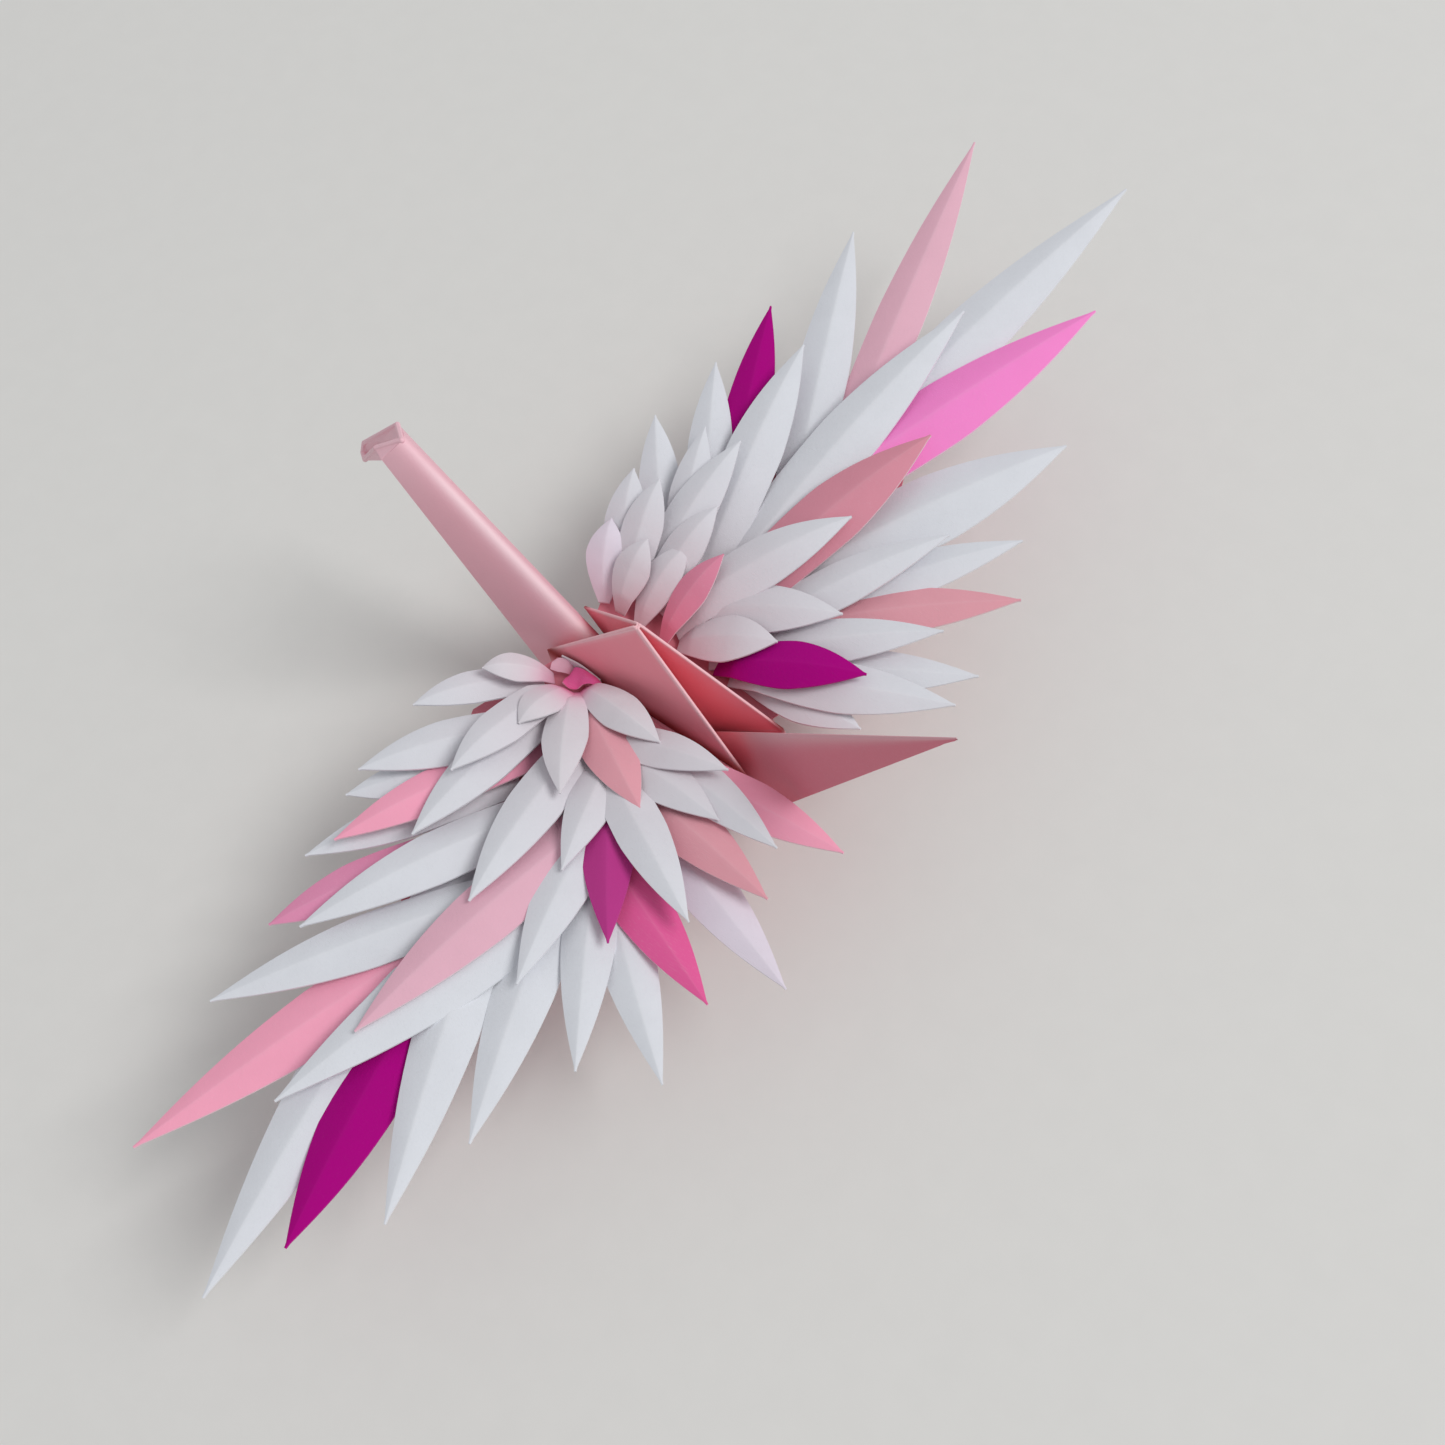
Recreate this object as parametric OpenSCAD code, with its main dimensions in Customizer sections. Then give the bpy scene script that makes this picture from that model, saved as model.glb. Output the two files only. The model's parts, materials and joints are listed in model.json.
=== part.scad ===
// Folded paper crane with cut paper feathers glued to its wings.
// Beak towards +X, left wing towards +Y, up +Z. Origin on the table, under the middle of the crane.

/* [Paper] */
// Side of the square sheet that the crane is folded from
sheet_side = 150; // [100:1:240]
// Thickness of the paper, crane and feathers alike
paper_t = 0.3; // [0.2:0.05:0.4]

/* [Body] */
// Lean of each hump wall away from the middle plane, in degrees
body_open = 12.4; // [8:0.1:16]
// Rise of the neck above the table, in degrees
neck_rise = 52; // [45:1:60]
// Rise of the tail above the table, in degrees
tail_rise = 46.7; // [40:0.1:55]
// Depth of the belly corners below the hump walls
belly_drop = 5; // [4:0.1:6]
// Half of the distance between the left and right belly corners
belly_half = 5.2; // [4:0.1:5.6]
// Width of the flat that each belly corner stands on
foot_d = 1.4; // [1:0.1:2]

/* [Neck and head] */
// Share of the leg's length that is folded over as the beak
beak_share = 0.23; // [0.16:0.01:0.3]
// Slope of the beak below the level, in degrees
beak_fall = 44; // [30:1:75]
// Half width of the soft rounded spine at the foot of the neck
spine_half = 1.1; // [0.6:0.1:1.6]
// Half width of the spine at the head, as a share of that at the foot
spine_taper = 0.8; // [0.6:0.05:1]
// Roundness of the spine, as a share of the neck's depth
spine_depth = 0.12; // [0.06:0.02:0.2]
// Half width of the blunt end of the beak
beak_end_half = 0.7; // [0.4:0.1:1]

/* [Wings] */
// Rise of the wings above the level, in degrees
wing_rise = 2; // [0:1:6]
// Diameter of the rolled crease that each wing turns on
crease_d = 0.6; // [0.5:0.1:0.8]
// Air between a wing and the body at the crease
crease_gap = 0.35; // [0.3:0.05:0.6]
// Length taken off each end of a wing's crease
crease_end = 2; // [1:0.5:4]

/* [Feathers] */
// Width of the shortest feathers
feather_w = 4.2; // [3.6:0.1:5]
// Extra width for each millimetre of a feather's length
feather_growth = 0.06; // [0.03:0.005:0.07]
// Place of a feather's greatest width, as a share of its length
widest_share = 0.5; // [0.4:0.05:0.65]
// Width of a feather near its root
base_w = 3.4; // [2.4:0.1:3.6]
// Fullness of a feather's pointed end: 1 is straight sided
tip_fullness = 1.2; // [1:0.1:1.6]
// Slope of a feather's two halves down from its centre fold, in degrees
roof_slope = 16; // [10:1:24]
// Length of the flat glued tab at a feather's root
tab_len = 1.6; // [1.2:0.1:2.4]
// Width of the glued tab
tab_w = 2.6; // [1.6:0.1:2.8]
// Width of the glued tab of the top feathers, which crowd together
top_tab_w = 1.6; // [1.2:0.1:2]
// Width of the top feathers near their roots
top_base_w = 2.6; // [2:0.1:3]
// Width of a feather's tip
tip_w = 0.5; // [0.3:0.1:0.8]
// Extra turn of the farthest feathers, as a share of their fan angle
fan_turn = 0.3; // [0:0.1:0.6]
// Extra height of a feather's tip, if it had no reach at all
lift_gain = 2.5; // [0:0.1:4]
// Share of a feather's length in which its fold and its extra rise reach their full height
rise_share = 0.15; // [0.1:0.05:0.3]

/* [Curled petals] */
// Radius of a petal's curl
curl_r = 2.2; // [2:0.1:3.2]
// How far a petal curls round, in degrees
curl_sweep = 140; // [90:5:160]
// Greatest width of a petal
petal_w = 3.4; // [2.4:0.1:4]
// Width of a petal at its root
petal_base_w = 1.6; // [1.2:0.1:1.8]

/* [Hidden] */

// Lengths that the folds of a square sheet give
hump_h = sheet_side * (sqrt(2) - 1) / 2;
leg_len = sheet_side / 2;
narrow_angle = 90 / 8;
narrow_half = leg_len * tan(narrow_angle);
shoulder_x = narrow_half * (1 + hump_h / leg_len) / (1 + narrow_half / leg_len);
shoulder_h = hump_h - shoulder_x;
wing_shoulder_v = leg_len * (hump_h - narrow_half) / (hump_h + narrow_half);
wing_shoulder_u = narrow_half * (1 + wing_shoulder_v / leg_len);
foot_x = narrow_half * (1 - belly_drop / leg_len);
flap_top_h = shoulder_h - crease_d / 2 - crease_gap - paper_t / 2;
flap_off = 0.8 * paper_t;
wing_len = leg_len - shoulder_h;
wing_root_half = shoulder_x - crease_end;

// Places of the crease line, which runs from shoulder to shoulder, and of the legs' ends
apex_z = belly_drop + hump_h * cos(body_open);
crease_off = paper_t / 2 + crease_gap + crease_d / 2;
crease_y = (hump_h - shoulder_h) * sin(body_open) + crease_off * cos(body_open);
crease_z = apex_z - (hump_h - shoulder_h) * cos(body_open) + crease_off * sin(body_open);
head_share = 1 - beak_share;
head_spine_half = spine_half * spine_taper;
neck_len = leg_len * head_share;
beak_len = leg_len * beak_share;
neck_dir = [cos(neck_rise), 0, sin(neck_rise)];
tail_dir = [-cos(tail_rise), 0, sin(tail_rise)];
beak_dir = [cos(beak_fall), 0, -sin(beak_fall)];

// Beak and tail reach equally far from the origin along the body
apex_x = (leg_len * tail_dir.x + neck_len * neck_dir.x + beak_len * beak_dir.x) / -2;
crotch = [apex_x, 0, belly_drop];
apex = [apex_x, 0, apex_z];
neck_end = crotch + neck_len * neck_dir;
beak_end = neck_end + beak_len * beak_dir;
tail_end = crotch + leg_len * tail_dir;

// Paper colours
PINK = [0.86, 0.58, 0.64];
WHITE = [0.88, 0.89, 0.91];
LILAC = [0.88, 0.80, 0.88];
BLUSH = [0.90, 0.66, 0.72];
ROSE = [0.93, 0.56, 0.67];
SALMON = [0.89, 0.53, 0.56];
HOT = [0.96, 0.38, 0.70];
PLUM = [0.64, 0.02, 0.48];

// Feather rows from the lowest and longest to the topmost and shortest.
// Each row: centre of its fan along and out from the crease, how far from that centre the roots sit
// on the tail side, on the neck side and straight out, height of the tips over the wing,
// rise from one layer of the row to the next. The top rows differ: the left one closes round the petals.
LOWER_ROWS = [
    [6, 4, 15, 8, 30, 2, 1.1],
    [6, 4, 8, 5, 9, 4.5, 1.1],
    [10, 2.8, 10, 10, 4, 4.8, 0.8]
];
LEFT_TOP_ROW = [8.5, 2.6, 4, 4, 3.4, 4.2, 0.8];
RIGHT_TOP_ROW = [10, 1.7, 6, 7, -0.7, 4.2, 0.8];
ROWS = [concat(LOWER_ROWS, [LEFT_TOP_ROW]), concat(LOWER_ROWS, [RIGHT_TOP_ROW])];
ROW_NAMES = ["long_feather", "middle_feather", "inner_feather", "top_feather"];
FANNED_ROWS = 2;
TOP_ROW = 3;
LONGEST = 95;

// One feather: fan angle from straight out (neck side positive), reach from the fan's centre, colour,
// then, where they aren't the usual ones: its layer in the row, its breadth, the turn of its root
// about its tip in degrees, and how far its root is moved out
PLAIN_CUT = [0, 0, WHITE, 0, 1, 0, 0];
LEFT_FEATHERS = [
    [
        [-92, 42.5, ROSE, 0, 1, -2], [-70, 50.5, LILAC, 0, 1, 2], [-59, 48, HOT, 1],
        [-50, 55.5, WHITE], [-39, 52.5, WHITE, 0.9], [-27, 62, WHITE, 0.8], [-21, 73.5, WHITE],
        [-13, 80, PLUM, 1.9, 1.2], [-9, 91, WHITE, 0, 1, 0, 5], [5, 81, ROSE],
        [11, 62.5, WHITE, 0, 1, 1], [15, 51, HOT, 0.2], [22.5, 42.5, WHITE], [31, 34.5, WHITE]
    ],
    [
        [-84, 36.5, WHITE, 0.7], [-76, 40.5, SALMON, 0, 1, 0, 2.5],
        [-61.5, 38.5, WHITE, 1.9, 1, 0, 6], [-45.5, 37, PLUM, 0, 1.15, 0, 1],
        [-29, 42, WHITE, 0, 1, 0, 2], [-8.5, 54, BLUSH, 1, 1, 1, 0.5],
        [-4.5, 66, WHITE, 0, 1, -4, 1.5], [10, 48, WHITE], [20, 38, ROSE, 0, 1, -2],
        [33.5, 31.5, WHITE, 0, 1, -4, 0.5]
    ],
    [
        [-89.5, 29, WHITE, 2.2, 1, 3], [-79, 32.5, WHITE, 0.7, 1, -3], [-40, 30, WHITE, 0, 1, 0, 0.5],
        [-20.5, 35.5, WHITE, 1, 1, 0, 3], [0.5, 30.5, WHITE, 0.6, 1, -5],
        [3.5, 21, WHITE, 2.5, 1, 10, 1], [40, 21, WHITE]
    ],
    [
        [-83, 17.5, WHITE, 1], [-62.5, 23.5, SALMON, 0, 1.25, -1], [-36, 19, WHITE, 1.3, 1, -1],
        [2, 10.5, WHITE, 1, 1, 3], [57.5, 12.5, WHITE]
    ]
];
RIGHT_FEATHERS = [
    [
        [-90, 34, WHITE, 0, 1, 5, 3.5], [-78.5, 44, WHITE, 2, 1, 8], [-71, 45, WHITE, 0, 1, 11, 2],
        [-56.5, 49, SALMON, 0, 1, 9], [-46, 50, WHITE, 0, 1, 5], [-33, 60, WHITE, 0, 1, 4],
        [-18, 75.5, HOT], [-9, 93, WHITE], [6, 90, BLUSH], [13, 68, WHITE],
        [20, 52, PLUM], [27, 41, WHITE], [40, 32, WHITE]
    ],
    [
        [-80, 32, PLUM, 1.2, 1.15, 9], [-65, 39.5, WHITE, 0, 1, 3], [-44, 40.5, WHITE, 0, 1, 4],
        [-23, 44, BLUSH, 0.8, 1, 0, 3], [-8, 61.5, WHITE, 0, 1, 0, 5], [10, 45, WHITE, 0, 1, 0, 2],
        [24, 28, WHITE, 0, 1, 0, 0.5]
    ],
    [
        [-65, 30, WHITE, 0, 1.1], [-38, 32, WHITE, 1, 1.1], [2, 27, WHITE, 1, 1, 0, 2],
        [-10, 17, WHITE, 1], [22.5, 17, WHITE, 1.8], [36.5, 19.5, WHITE, 0.2, 1, 0, 2]
    ],
    [
        [-75.5, 23, WHITE, 0, 1.15, 2, 1], [-40, 15, ROSE, 0.9, 1, 0, 0.5], [-13, 11.5, WHITE],
        [16, 9, WHITE, 1], [47, 13, LILAC]
    ]
];

// Curled petals by the left wing's crease, amid the top row: their own root, then each one's direction
PETAL_ROOT = [7.9, 2.2];
PETALS = [-95, 80];

SIDES = ["left", "right"];
FEATHERS = [LEFT_FEATHERS, RIGHT_FEATHERS];

// White feathers of the inner and top rows are grouped by row, all others stand by themselves
function two_digits(n) = str(n < 10 ? "0" : "", n);
function grouped(side, row, i) = row >= FANNED_ROWS && FEATHERS[side][row][i][2] == WHITE;
function group_node(side, row) = str(SIDES[side], "_", ROW_NAMES[row], "s");
function feather_node(side, row, i) =
    grouped(side, row, i) ? group_node(side, row)
    : str(SIDES[side], "_", ROW_NAMES[row], "_", two_digits(i + 1));
function count_in(side, row) = len(FEATHERS[side][row]);

// Point on a hump wall: x along the body, h up the wall from its foot, y_sign +1 left, -1 right
function on_wall(x, h, y_sign) = [
    apex_x + x,
    y_sign * (hump_h - h) * sin(body_open),
    apex_z - (hump_h - h) * cos(body_open)
];
function shoulder(x_sign, y_sign) = on_wall(x_sign * shoulder_x, shoulder_h, y_sign);
function wall_corner(x_sign, y_sign) = on_wall(x_sign * narrow_half, 0, y_sign);
function flap_corner(x_sign, h, y_sign) =
    on_wall(x_sign * narrow_half * (1 + h / leg_len), h, y_sign)
    + flap_off * [0, y_sign * cos(body_open), sin(body_open)];
function foot(x_sign, y_sign) = [apex_x + x_sign * foot_x, y_sign * belly_half, paper_t / 2];

// Point on the neck's section: share of the way to the unfolded tip, how far down its depth, half width
function leg_taper(share) = 1 - share;
function on_neck(share, depth_share, half) =
    let (spine = crotch + leg_len * share * neck_dir)
    let (edge = foot(1, 1) + share * (crotch + leg_len * neck_dir - foot(1, 1)))
    [
        spine.x + depth_share * (edge.x - spine.x),
        half,
        spine.z + depth_share * (edge.z - spine.z)
    ];
function neck_edge_half(share) = belly_half * leg_taper(share);

// Folded sheet between corner points, with the paper's thickness and rounded folds
module panel(corners) {
    hull()
        for (c = corners)
            translate(c)
                sphere(d = paper_t, $fn = 8);
}

// Folded sheet that stands on a flattened belly corner
module footed_panel(corners, corner_foot) {
    hull() {
        for (c = corners)
            translate(c)
                sphere(d = paper_t, $fn = 8);
        translate([corner_foot.x, corner_foot.y, 0])
            cylinder(d = foot_d, h = paper_t, $fn = 12);
    }
}

module hump_wall(y_sign) {
    panel([
        apex,
        shoulder(1, y_sign),
        wall_corner(1, y_sign),
        wall_corner(-1, y_sign),
        shoulder(-1, y_sign)
    ]);
}

// Lower part of a wing's sheet, lying against the hump wall below the wing's crease
module wing_flap(y_sign) {
    panel([
        for (x_sign = [1, -1])
            for (h = [0, flap_top_h])
                flap_corner(x_sign, h, y_sign)
    ]);
}

// Inner fold that joins a hump wall's end to the leg that rises inside it
module gusset(x_sign, y_sign) {
    panel([apex, shoulder(x_sign, y_sign), crotch]);
    footed_panel([shoulder(x_sign, y_sign), crotch], foot(x_sign, y_sign));
    footed_panel([shoulder(x_sign, y_sign), wall_corner(x_sign, y_sign)], foot(x_sign, y_sign));
}

module tail_side(y_sign) {
    footed_panel([crotch, tail_end], foot(-1, y_sign));
}

// Neck as a channel, open below, with a soft spine of three narrow strips
module neck() {
    for (y_sign = [1, -1]) {
        footed_panel(
            [
                on_neck(0, spine_depth, y_sign * spine_half),
                on_neck(head_share, spine_depth, y_sign * head_spine_half),
                on_neck(head_share, 1, y_sign * neck_edge_half(head_share))
            ],
            foot(1, y_sign)
        );
        panel([
            on_neck(0, spine_depth, y_sign * spine_half),
            on_neck(0, 0, y_sign * spine_half / 2),
            on_neck(head_share, spine_depth, y_sign * head_spine_half),
            on_neck(head_share, 0, y_sign * head_spine_half / 2)
        ]);
    }
    panel([
        for (y_sign = [1, -1]) each [
            on_neck(0, 0, y_sign * spine_half / 2),
            on_neck(head_share, 0, y_sign * head_spine_half / 2)
        ]
    ]);
}

// Beak: the leg's last part, folded back down through the neck's open side
module beak() {
    for (y_sign = [1, -1])
        panel([
            on_neck(head_share, 0, y_sign * head_spine_half / 2),
            on_neck(head_share, 1, y_sign * neck_edge_half(head_share)),
            beak_end + [0, y_sign * beak_end_half, 0]
        ]);
    panel([
        for (y_sign = [1, -1]) each [
            on_neck(head_share, 0, y_sign * head_spine_half / 2),
            beak_end + [0, y_sign * beak_end_half, 0]
        ]
    ]);
}

module crane_body() {
    color(PINK) {
        for (y_sign = [1, -1]) {
            hump_wall(y_sign);
            wing_flap(y_sign);
            for (x_sign = [1, -1])
                gusset(x_sign, y_sign);
            tail_side(y_sign);
        }
        neck();
        beak();
    }
}

// Wing's own plane: x along the crease towards the neck, y out from the body, z up off the paper
module on_wing(side) {
    mirror([0, side, 0])
        translate([apex_x, crease_y, crease_z])
            rotate([wing_rise, 0, 0])
                children();
}

module wing(side) {
    color(PINK)
        on_wing(side) {
            translate([0, 0, -paper_t / 2])
                linear_extrude(paper_t)
                    polygon([
                        [-wing_root_half, 0],
                        [-wing_shoulder_u, wing_shoulder_v - shoulder_h],
                        [0, wing_len],
                        [wing_shoulder_u, wing_shoulder_v - shoulder_h],
                        [wing_root_half, 0]
                    ]);
            translate([-wing_root_half, 0, 0])
                rotate([0, 90, 0])
                    cylinder(d = crease_d, h = 2 * wing_root_half, $fn = 48);
        }
}

// Distance of a root from its fan's centre: part of an ellipse, wider on the tail side
function root_reach(fan, angle) =
    let (across = angle < 0 ? fan[2] : fan[3])
    1 / sqrt(pow(sin(angle) / across, 2) + pow(cos(angle) / fan[4], 2));

// Feathers that reach far out turn a little more than their place in the fan
function turned(angle, reach) = angle * (1 + fan_turn * pow(reach / LONGEST, 2) * cos(angle));

function heading(angle) = [sin(angle), cos(angle)];
function tip_of(fan, cut) = [fan.x, fan.y] + cut[1] * heading(cut[0]);

// Span from root to tip before any turn of the root: those of the fanned rows lie round the fan's
// centre, those of the other rows along the crease
function plain_span(fan, cut, fanned) =
    fanned ?
        (cut[1] - root_reach(fan, cut[0])) * heading(turned(cut[0], cut[1])) :
        tip_of(fan, cut)
        - [fan.x + (cut[0] < 0 ? fan[2] : fan[3]) * sin(cut[0]), fan.y + fan[4] * cos(cut[0])];

// Stations along a blade, as shares of its length past the tab
BLADE = [0, 0.08, 0.2, 0.35, 0.5, 0.65, 0.8, 0.91, 1];

// Half width of a leaf: it swells from its base to its widest place, then narrows to the tip
function leaf_half(share, width, base) =
    share < widest_share ?
        (base + (width - base) * sin(90 * share / widest_share)) / 2 :
        max(tip_w, width * cos(90 * pow((share - widest_share) / (1 - widest_share), tip_fullness))) / 2;
function blade_rise(share, lift) = lift * (1 - pow(1 - share, 2));

// One station of a folded blade: three points across its lower face, then the same on its upper face
function station(x, half, z, ridge, up = [0, 0, paper_t]) =
    let (lower = [[x, -half, z], [x, 0, z + ridge], [x, half, z]])
    concat(lower, [for (point = lower) point + up]);

function feather_stations(length, lift, step, breadth, tab, base) =
    let (width = breadth * (feather_w + feather_growth * length))
    let (blade_len = length - tab_len)
    concat(
        [station(0, tab / 2, 0, 0)],
        [for (share = BLADE)
            let (half = share == 0 ? tab / 2 : leaf_half(share, width, base))
            let (opened = min(1, share / rise_share))
            station(
                tab_len + blade_len * share,
                half,
                blade_rise(share, lift) + step * opened,
                half * tan(roof_slope) * opened
            )]
    );

function petal_stations() = [
    for (share = BLADE)
        let (turn = curl_sweep * share)
        station(
            curl_r * sin(turn),
            leaf_half(share, petal_w, petal_base_w),
            curl_r * (1 - cos(turn)),
            0,
            paper_t * [-sin(turn), 0, cos(turn)]
        )
];

// Solid strip through stations of six points each
function quad(a, b, c, d) = [[a, b, c], [a, c, d]];
function strip_faces(count) = concat(
    [for (i = [0 : count - 2]) let (p = 6 * i) let (q = p + 6)
        each concat(
            quad(p, q, q + 1, p + 1), quad(p + 1, q + 1, q + 2, p + 2),
            quad(p + 3, p + 4, q + 4, q + 3), quad(p + 4, p + 5, q + 5, q + 4),
            quad(p, p + 3, q + 3, q), quad(p + 2, q + 2, q + 5, p + 5)
        )],
    quad(0, 1, 4, 3),
    quad(1, 2, 5, 4),
    let (e = 6 * (count - 1)) concat(quad(e, e + 3, e + 4, e + 1), quad(e + 1, e + 4, e + 5, e + 2))
);
module strip(stations) {
    polyhedron([for (s = stations) each s], strip_faces(len(stations)));
}

module feather(side, row, i) {
    fan = ROWS[side][row];
    given = FEATHERS[side][row][i];
    cut = [for (k = [0 : len(PLAIN_CUT) - 1]) k < len(given) ? given[k] : PLAIN_CUT[k]];
    tip = tip_of(fan, cut);
    span = plain_span(fan, cut, row < FANNED_ROWS);
    length = norm(span) - cut[6];
    lift = fan[5] + lift_gain * (1 - cut[1] / LONGEST);
    tab = row == TOP_ROW ? top_tab_w : tab_w;
    base = row == TOP_ROW ? top_base_w : base_w;
    color(cut[2])
        on_wing(side)
            translate([tip.x, tip.y, paper_t / 2])
                rotate(atan2(span.y, span.x) - cut[5])
                    translate([-length, 0, 0])
                        strip(feather_stations(length, lift, fan[6] * cut[3], cut[4], tab, base));
}

module left_petals() {
    color(HOT)
        on_wing(0)
            for (direction = PETALS)
                translate([PETAL_ROOT.x, PETAL_ROOT.y, paper_t / 2])
                    rotate(90 - direction)
                        strip(petal_stations());
}

crane_body();
wing(0);  // left_wing
wing(1);  // right_wing
left_petals();
for (side = [0, 1])
    for (row = [0 : TOP_ROW])
        for (i = [0 : count_in(side, row) - 1])
            feather(side, row, i);
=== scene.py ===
"""A folded paper crane whose wings carry fans of cut and creased paper feathers.

Sizes in the classes are millimetres. Meshes are written in metres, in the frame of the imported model:
+X towards the beak, +Y towards the left wing, +Z up, with the origin on the table.
"""

import json
import logging
import math
import random
from dataclasses import dataclass, field
from enum import Enum
from functools import cache

import bmesh
import bpy
import numpy as np
from mathutils import Color, Matrix, Vector


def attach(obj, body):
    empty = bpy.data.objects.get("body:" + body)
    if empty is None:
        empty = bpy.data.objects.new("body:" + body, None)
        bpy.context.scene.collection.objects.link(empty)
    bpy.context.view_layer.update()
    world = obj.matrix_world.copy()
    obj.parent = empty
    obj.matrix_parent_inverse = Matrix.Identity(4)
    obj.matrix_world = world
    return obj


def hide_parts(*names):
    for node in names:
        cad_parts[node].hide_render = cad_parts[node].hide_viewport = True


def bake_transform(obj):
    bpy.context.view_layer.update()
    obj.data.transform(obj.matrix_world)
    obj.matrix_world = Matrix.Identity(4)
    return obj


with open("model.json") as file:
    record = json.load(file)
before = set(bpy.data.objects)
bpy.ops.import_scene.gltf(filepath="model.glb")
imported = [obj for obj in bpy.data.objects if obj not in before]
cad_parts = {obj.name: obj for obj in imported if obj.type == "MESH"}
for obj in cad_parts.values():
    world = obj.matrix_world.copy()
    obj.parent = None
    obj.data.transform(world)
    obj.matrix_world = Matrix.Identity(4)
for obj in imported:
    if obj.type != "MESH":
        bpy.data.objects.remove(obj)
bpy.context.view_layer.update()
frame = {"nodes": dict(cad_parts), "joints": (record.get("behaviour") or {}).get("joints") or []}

MM = 0.001
SHARP_ANGLE = math.radians(38)
WELD = 0.002
SLIVER = 0.001
LOG = logging.getLogger("paper_crane")

VALUE = "NodeSocketFloat"
COLOUR = "NodeSocketColor"
VECTOR = "NodeSocketVector"

Points = np.ndarray
Colour = tuple[float, float, float]
Place = tuple[float, float, float]
Socket = bpy.types.NodeSocket


def linear(colour: Colour) -> tuple[float, float, float, float]:
    """A colour as seen on a screen in the linear values that shaders use, with an alpha of 1."""
    return (*Color(colour).from_srgb_to_scene_linear(), 1.0)


def unit(vectors: Points) -> Points:
    """The vectors along the last axis, at a length of 1."""
    return vectors / np.linalg.norm(vectors, axis=-1, keepdims=True)


def heading(angle: float) -> Points:
    """Direction in a wing's plane, in degrees from straight out towards the neck."""
    return np.array([math.sin(math.radians(angle)), math.cos(math.radians(angle))])


class Side(Enum):
    """The two wings, with the sign of their Y axis."""

    LEFT = 1
    RIGHT = -1

    @property
    def word(self) -> str:
        """The side's name as the nodes spell it."""
        return self.name.lower()

    @property
    def body(self) -> str:
        """The moving body of this side's wing."""
        return f"{self.word}_wing"

    @property
    def joint(self) -> str:
        """The joint that this side's wing turns on."""
        return f"{self.word}_wing_crease"


class End(Enum):
    """The two ends of the crane's body, with the sign of their X axis."""

    NECK = 1
    TAIL = -1


class NodeTree:
    """Short words for placing and linking shader nodes in one tree."""

    MIX_INPUTS = (0, 6, 7)
    MIX_RESULT = 2

    def __init__(self, tree: bpy.types.NodeTree) -> None:
        """Keeps the tree that the nodes go into."""
        self.tree = tree

    def add(self, kind: str, **values: object) -> bpy.types.Node:
        """Places a node.

        Args:
            kind: Blender's name of the shader node, less the word ShaderNode.
            **values: Settings of the node itself, such as operation.

        Returns:
            The new node.
        """
        node = self.tree.nodes.new(f"ShaderNode{kind}")
        for key, value in values.items():
            setattr(node, key, value)
        return node

    def feed(self, target: Socket, value: object) -> None:
        """Gives an input what it takes.

        Args:
            target: The input.
            value: A socket to link it to, or a constant.
        """
        if isinstance(value, Socket):
            self.tree.links.new(value, target)
        else:
            target.default_value = value

    def set(self, node: bpy.types.Node, **inputs: object) -> bpy.types.Node:
        """Feeds a node by the names of its inputs.

        Args:
            node: The node.
            **inputs: Sockets or constants, with underscores for the spaces in a name.

        Returns:
            The same node.
        """
        for key, value in inputs.items():
            self.feed(node.inputs[key.replace("_", " ")], value)
        return node

    def math(self, operation: str, first: object, second: object = 0.0) -> Socket:
        """Places a math node.

        Args:
            operation: What to do with the two values.
            first: A socket or a number.
            second: A socket or a number.

        Returns:
            The socket that holds the result.
        """
        node = self.add("Math", operation=operation)
        for target, value in zip(node.inputs, (first, second)):
            self.feed(target, value)
        return node.outputs[0]

    def mix(self, blend: str, factor: object, first: object, second: object) -> Socket:
        """Places a colour mix.

        Args:
            blend: The blend type.
            factor: A socket or a number from 0 to 1.
            first: A socket or a colour.
            second: A socket or a colour.

        Returns:
            The socket that holds the mixed colour.
        """
        node = self.add("Mix", data_type="RGBA", blend_type=blend, clamp_result=True)
        for slot, value in zip(self.MIX_INPUTS, (factor, first, second)):
            self.feed(node.inputs[slot], value)
        return node.outputs[self.MIX_RESULT]

    def ramp(self, value: Socket, low: float, high: float) -> Socket:
        """Places a smooth step, from 0 at the low value to 1 at the high one."""
        node = self.add("MapRange", interpolation_type="SMOOTHSTEP")
        return self.set(node, Value=value, From_Min=low, From_Max=high).outputs["Result"]

    def bell(self, distance: Socket, reach: Socket) -> Socket:
        """Places a soft spot.

        Args:
            distance: Distance from its middle.
            reach: Distance at which it has faded to about a third.

        Returns:
            The socket with its strength, which is 1 in the middle.
        """
        share = self.math("DIVIDE", distance, reach)
        square = self.math("MULTIPLY", share, share)
        return self.math("POWER", math.e, self.math("MULTIPLY", square, -1.0))


def new_group(
    name: str, inputs: dict[str, str], outputs: dict[str, str]
) -> tuple[NodeTree, bpy.types.Node, bpy.types.Node]:
    """Starts a shader node group.

    Args:
        name: The group's name.
        inputs: Socket type by input name.
        outputs: Socket type by output name.

    Returns:
        The group's tree, its input node and its output node.
    """
    tree = bpy.data.node_groups.new(name, "ShaderNodeTree")
    for way, sockets in (("INPUT", inputs), ("OUTPUT", outputs)):
        for socket, kind in sockets.items():
            tree.interface.new_socket(socket, in_out=way, socket_type=kind)
    return NodeTree(tree), tree.nodes.new("NodeGroupInput"), tree.nodes.new("NodeGroupOutput")


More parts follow.
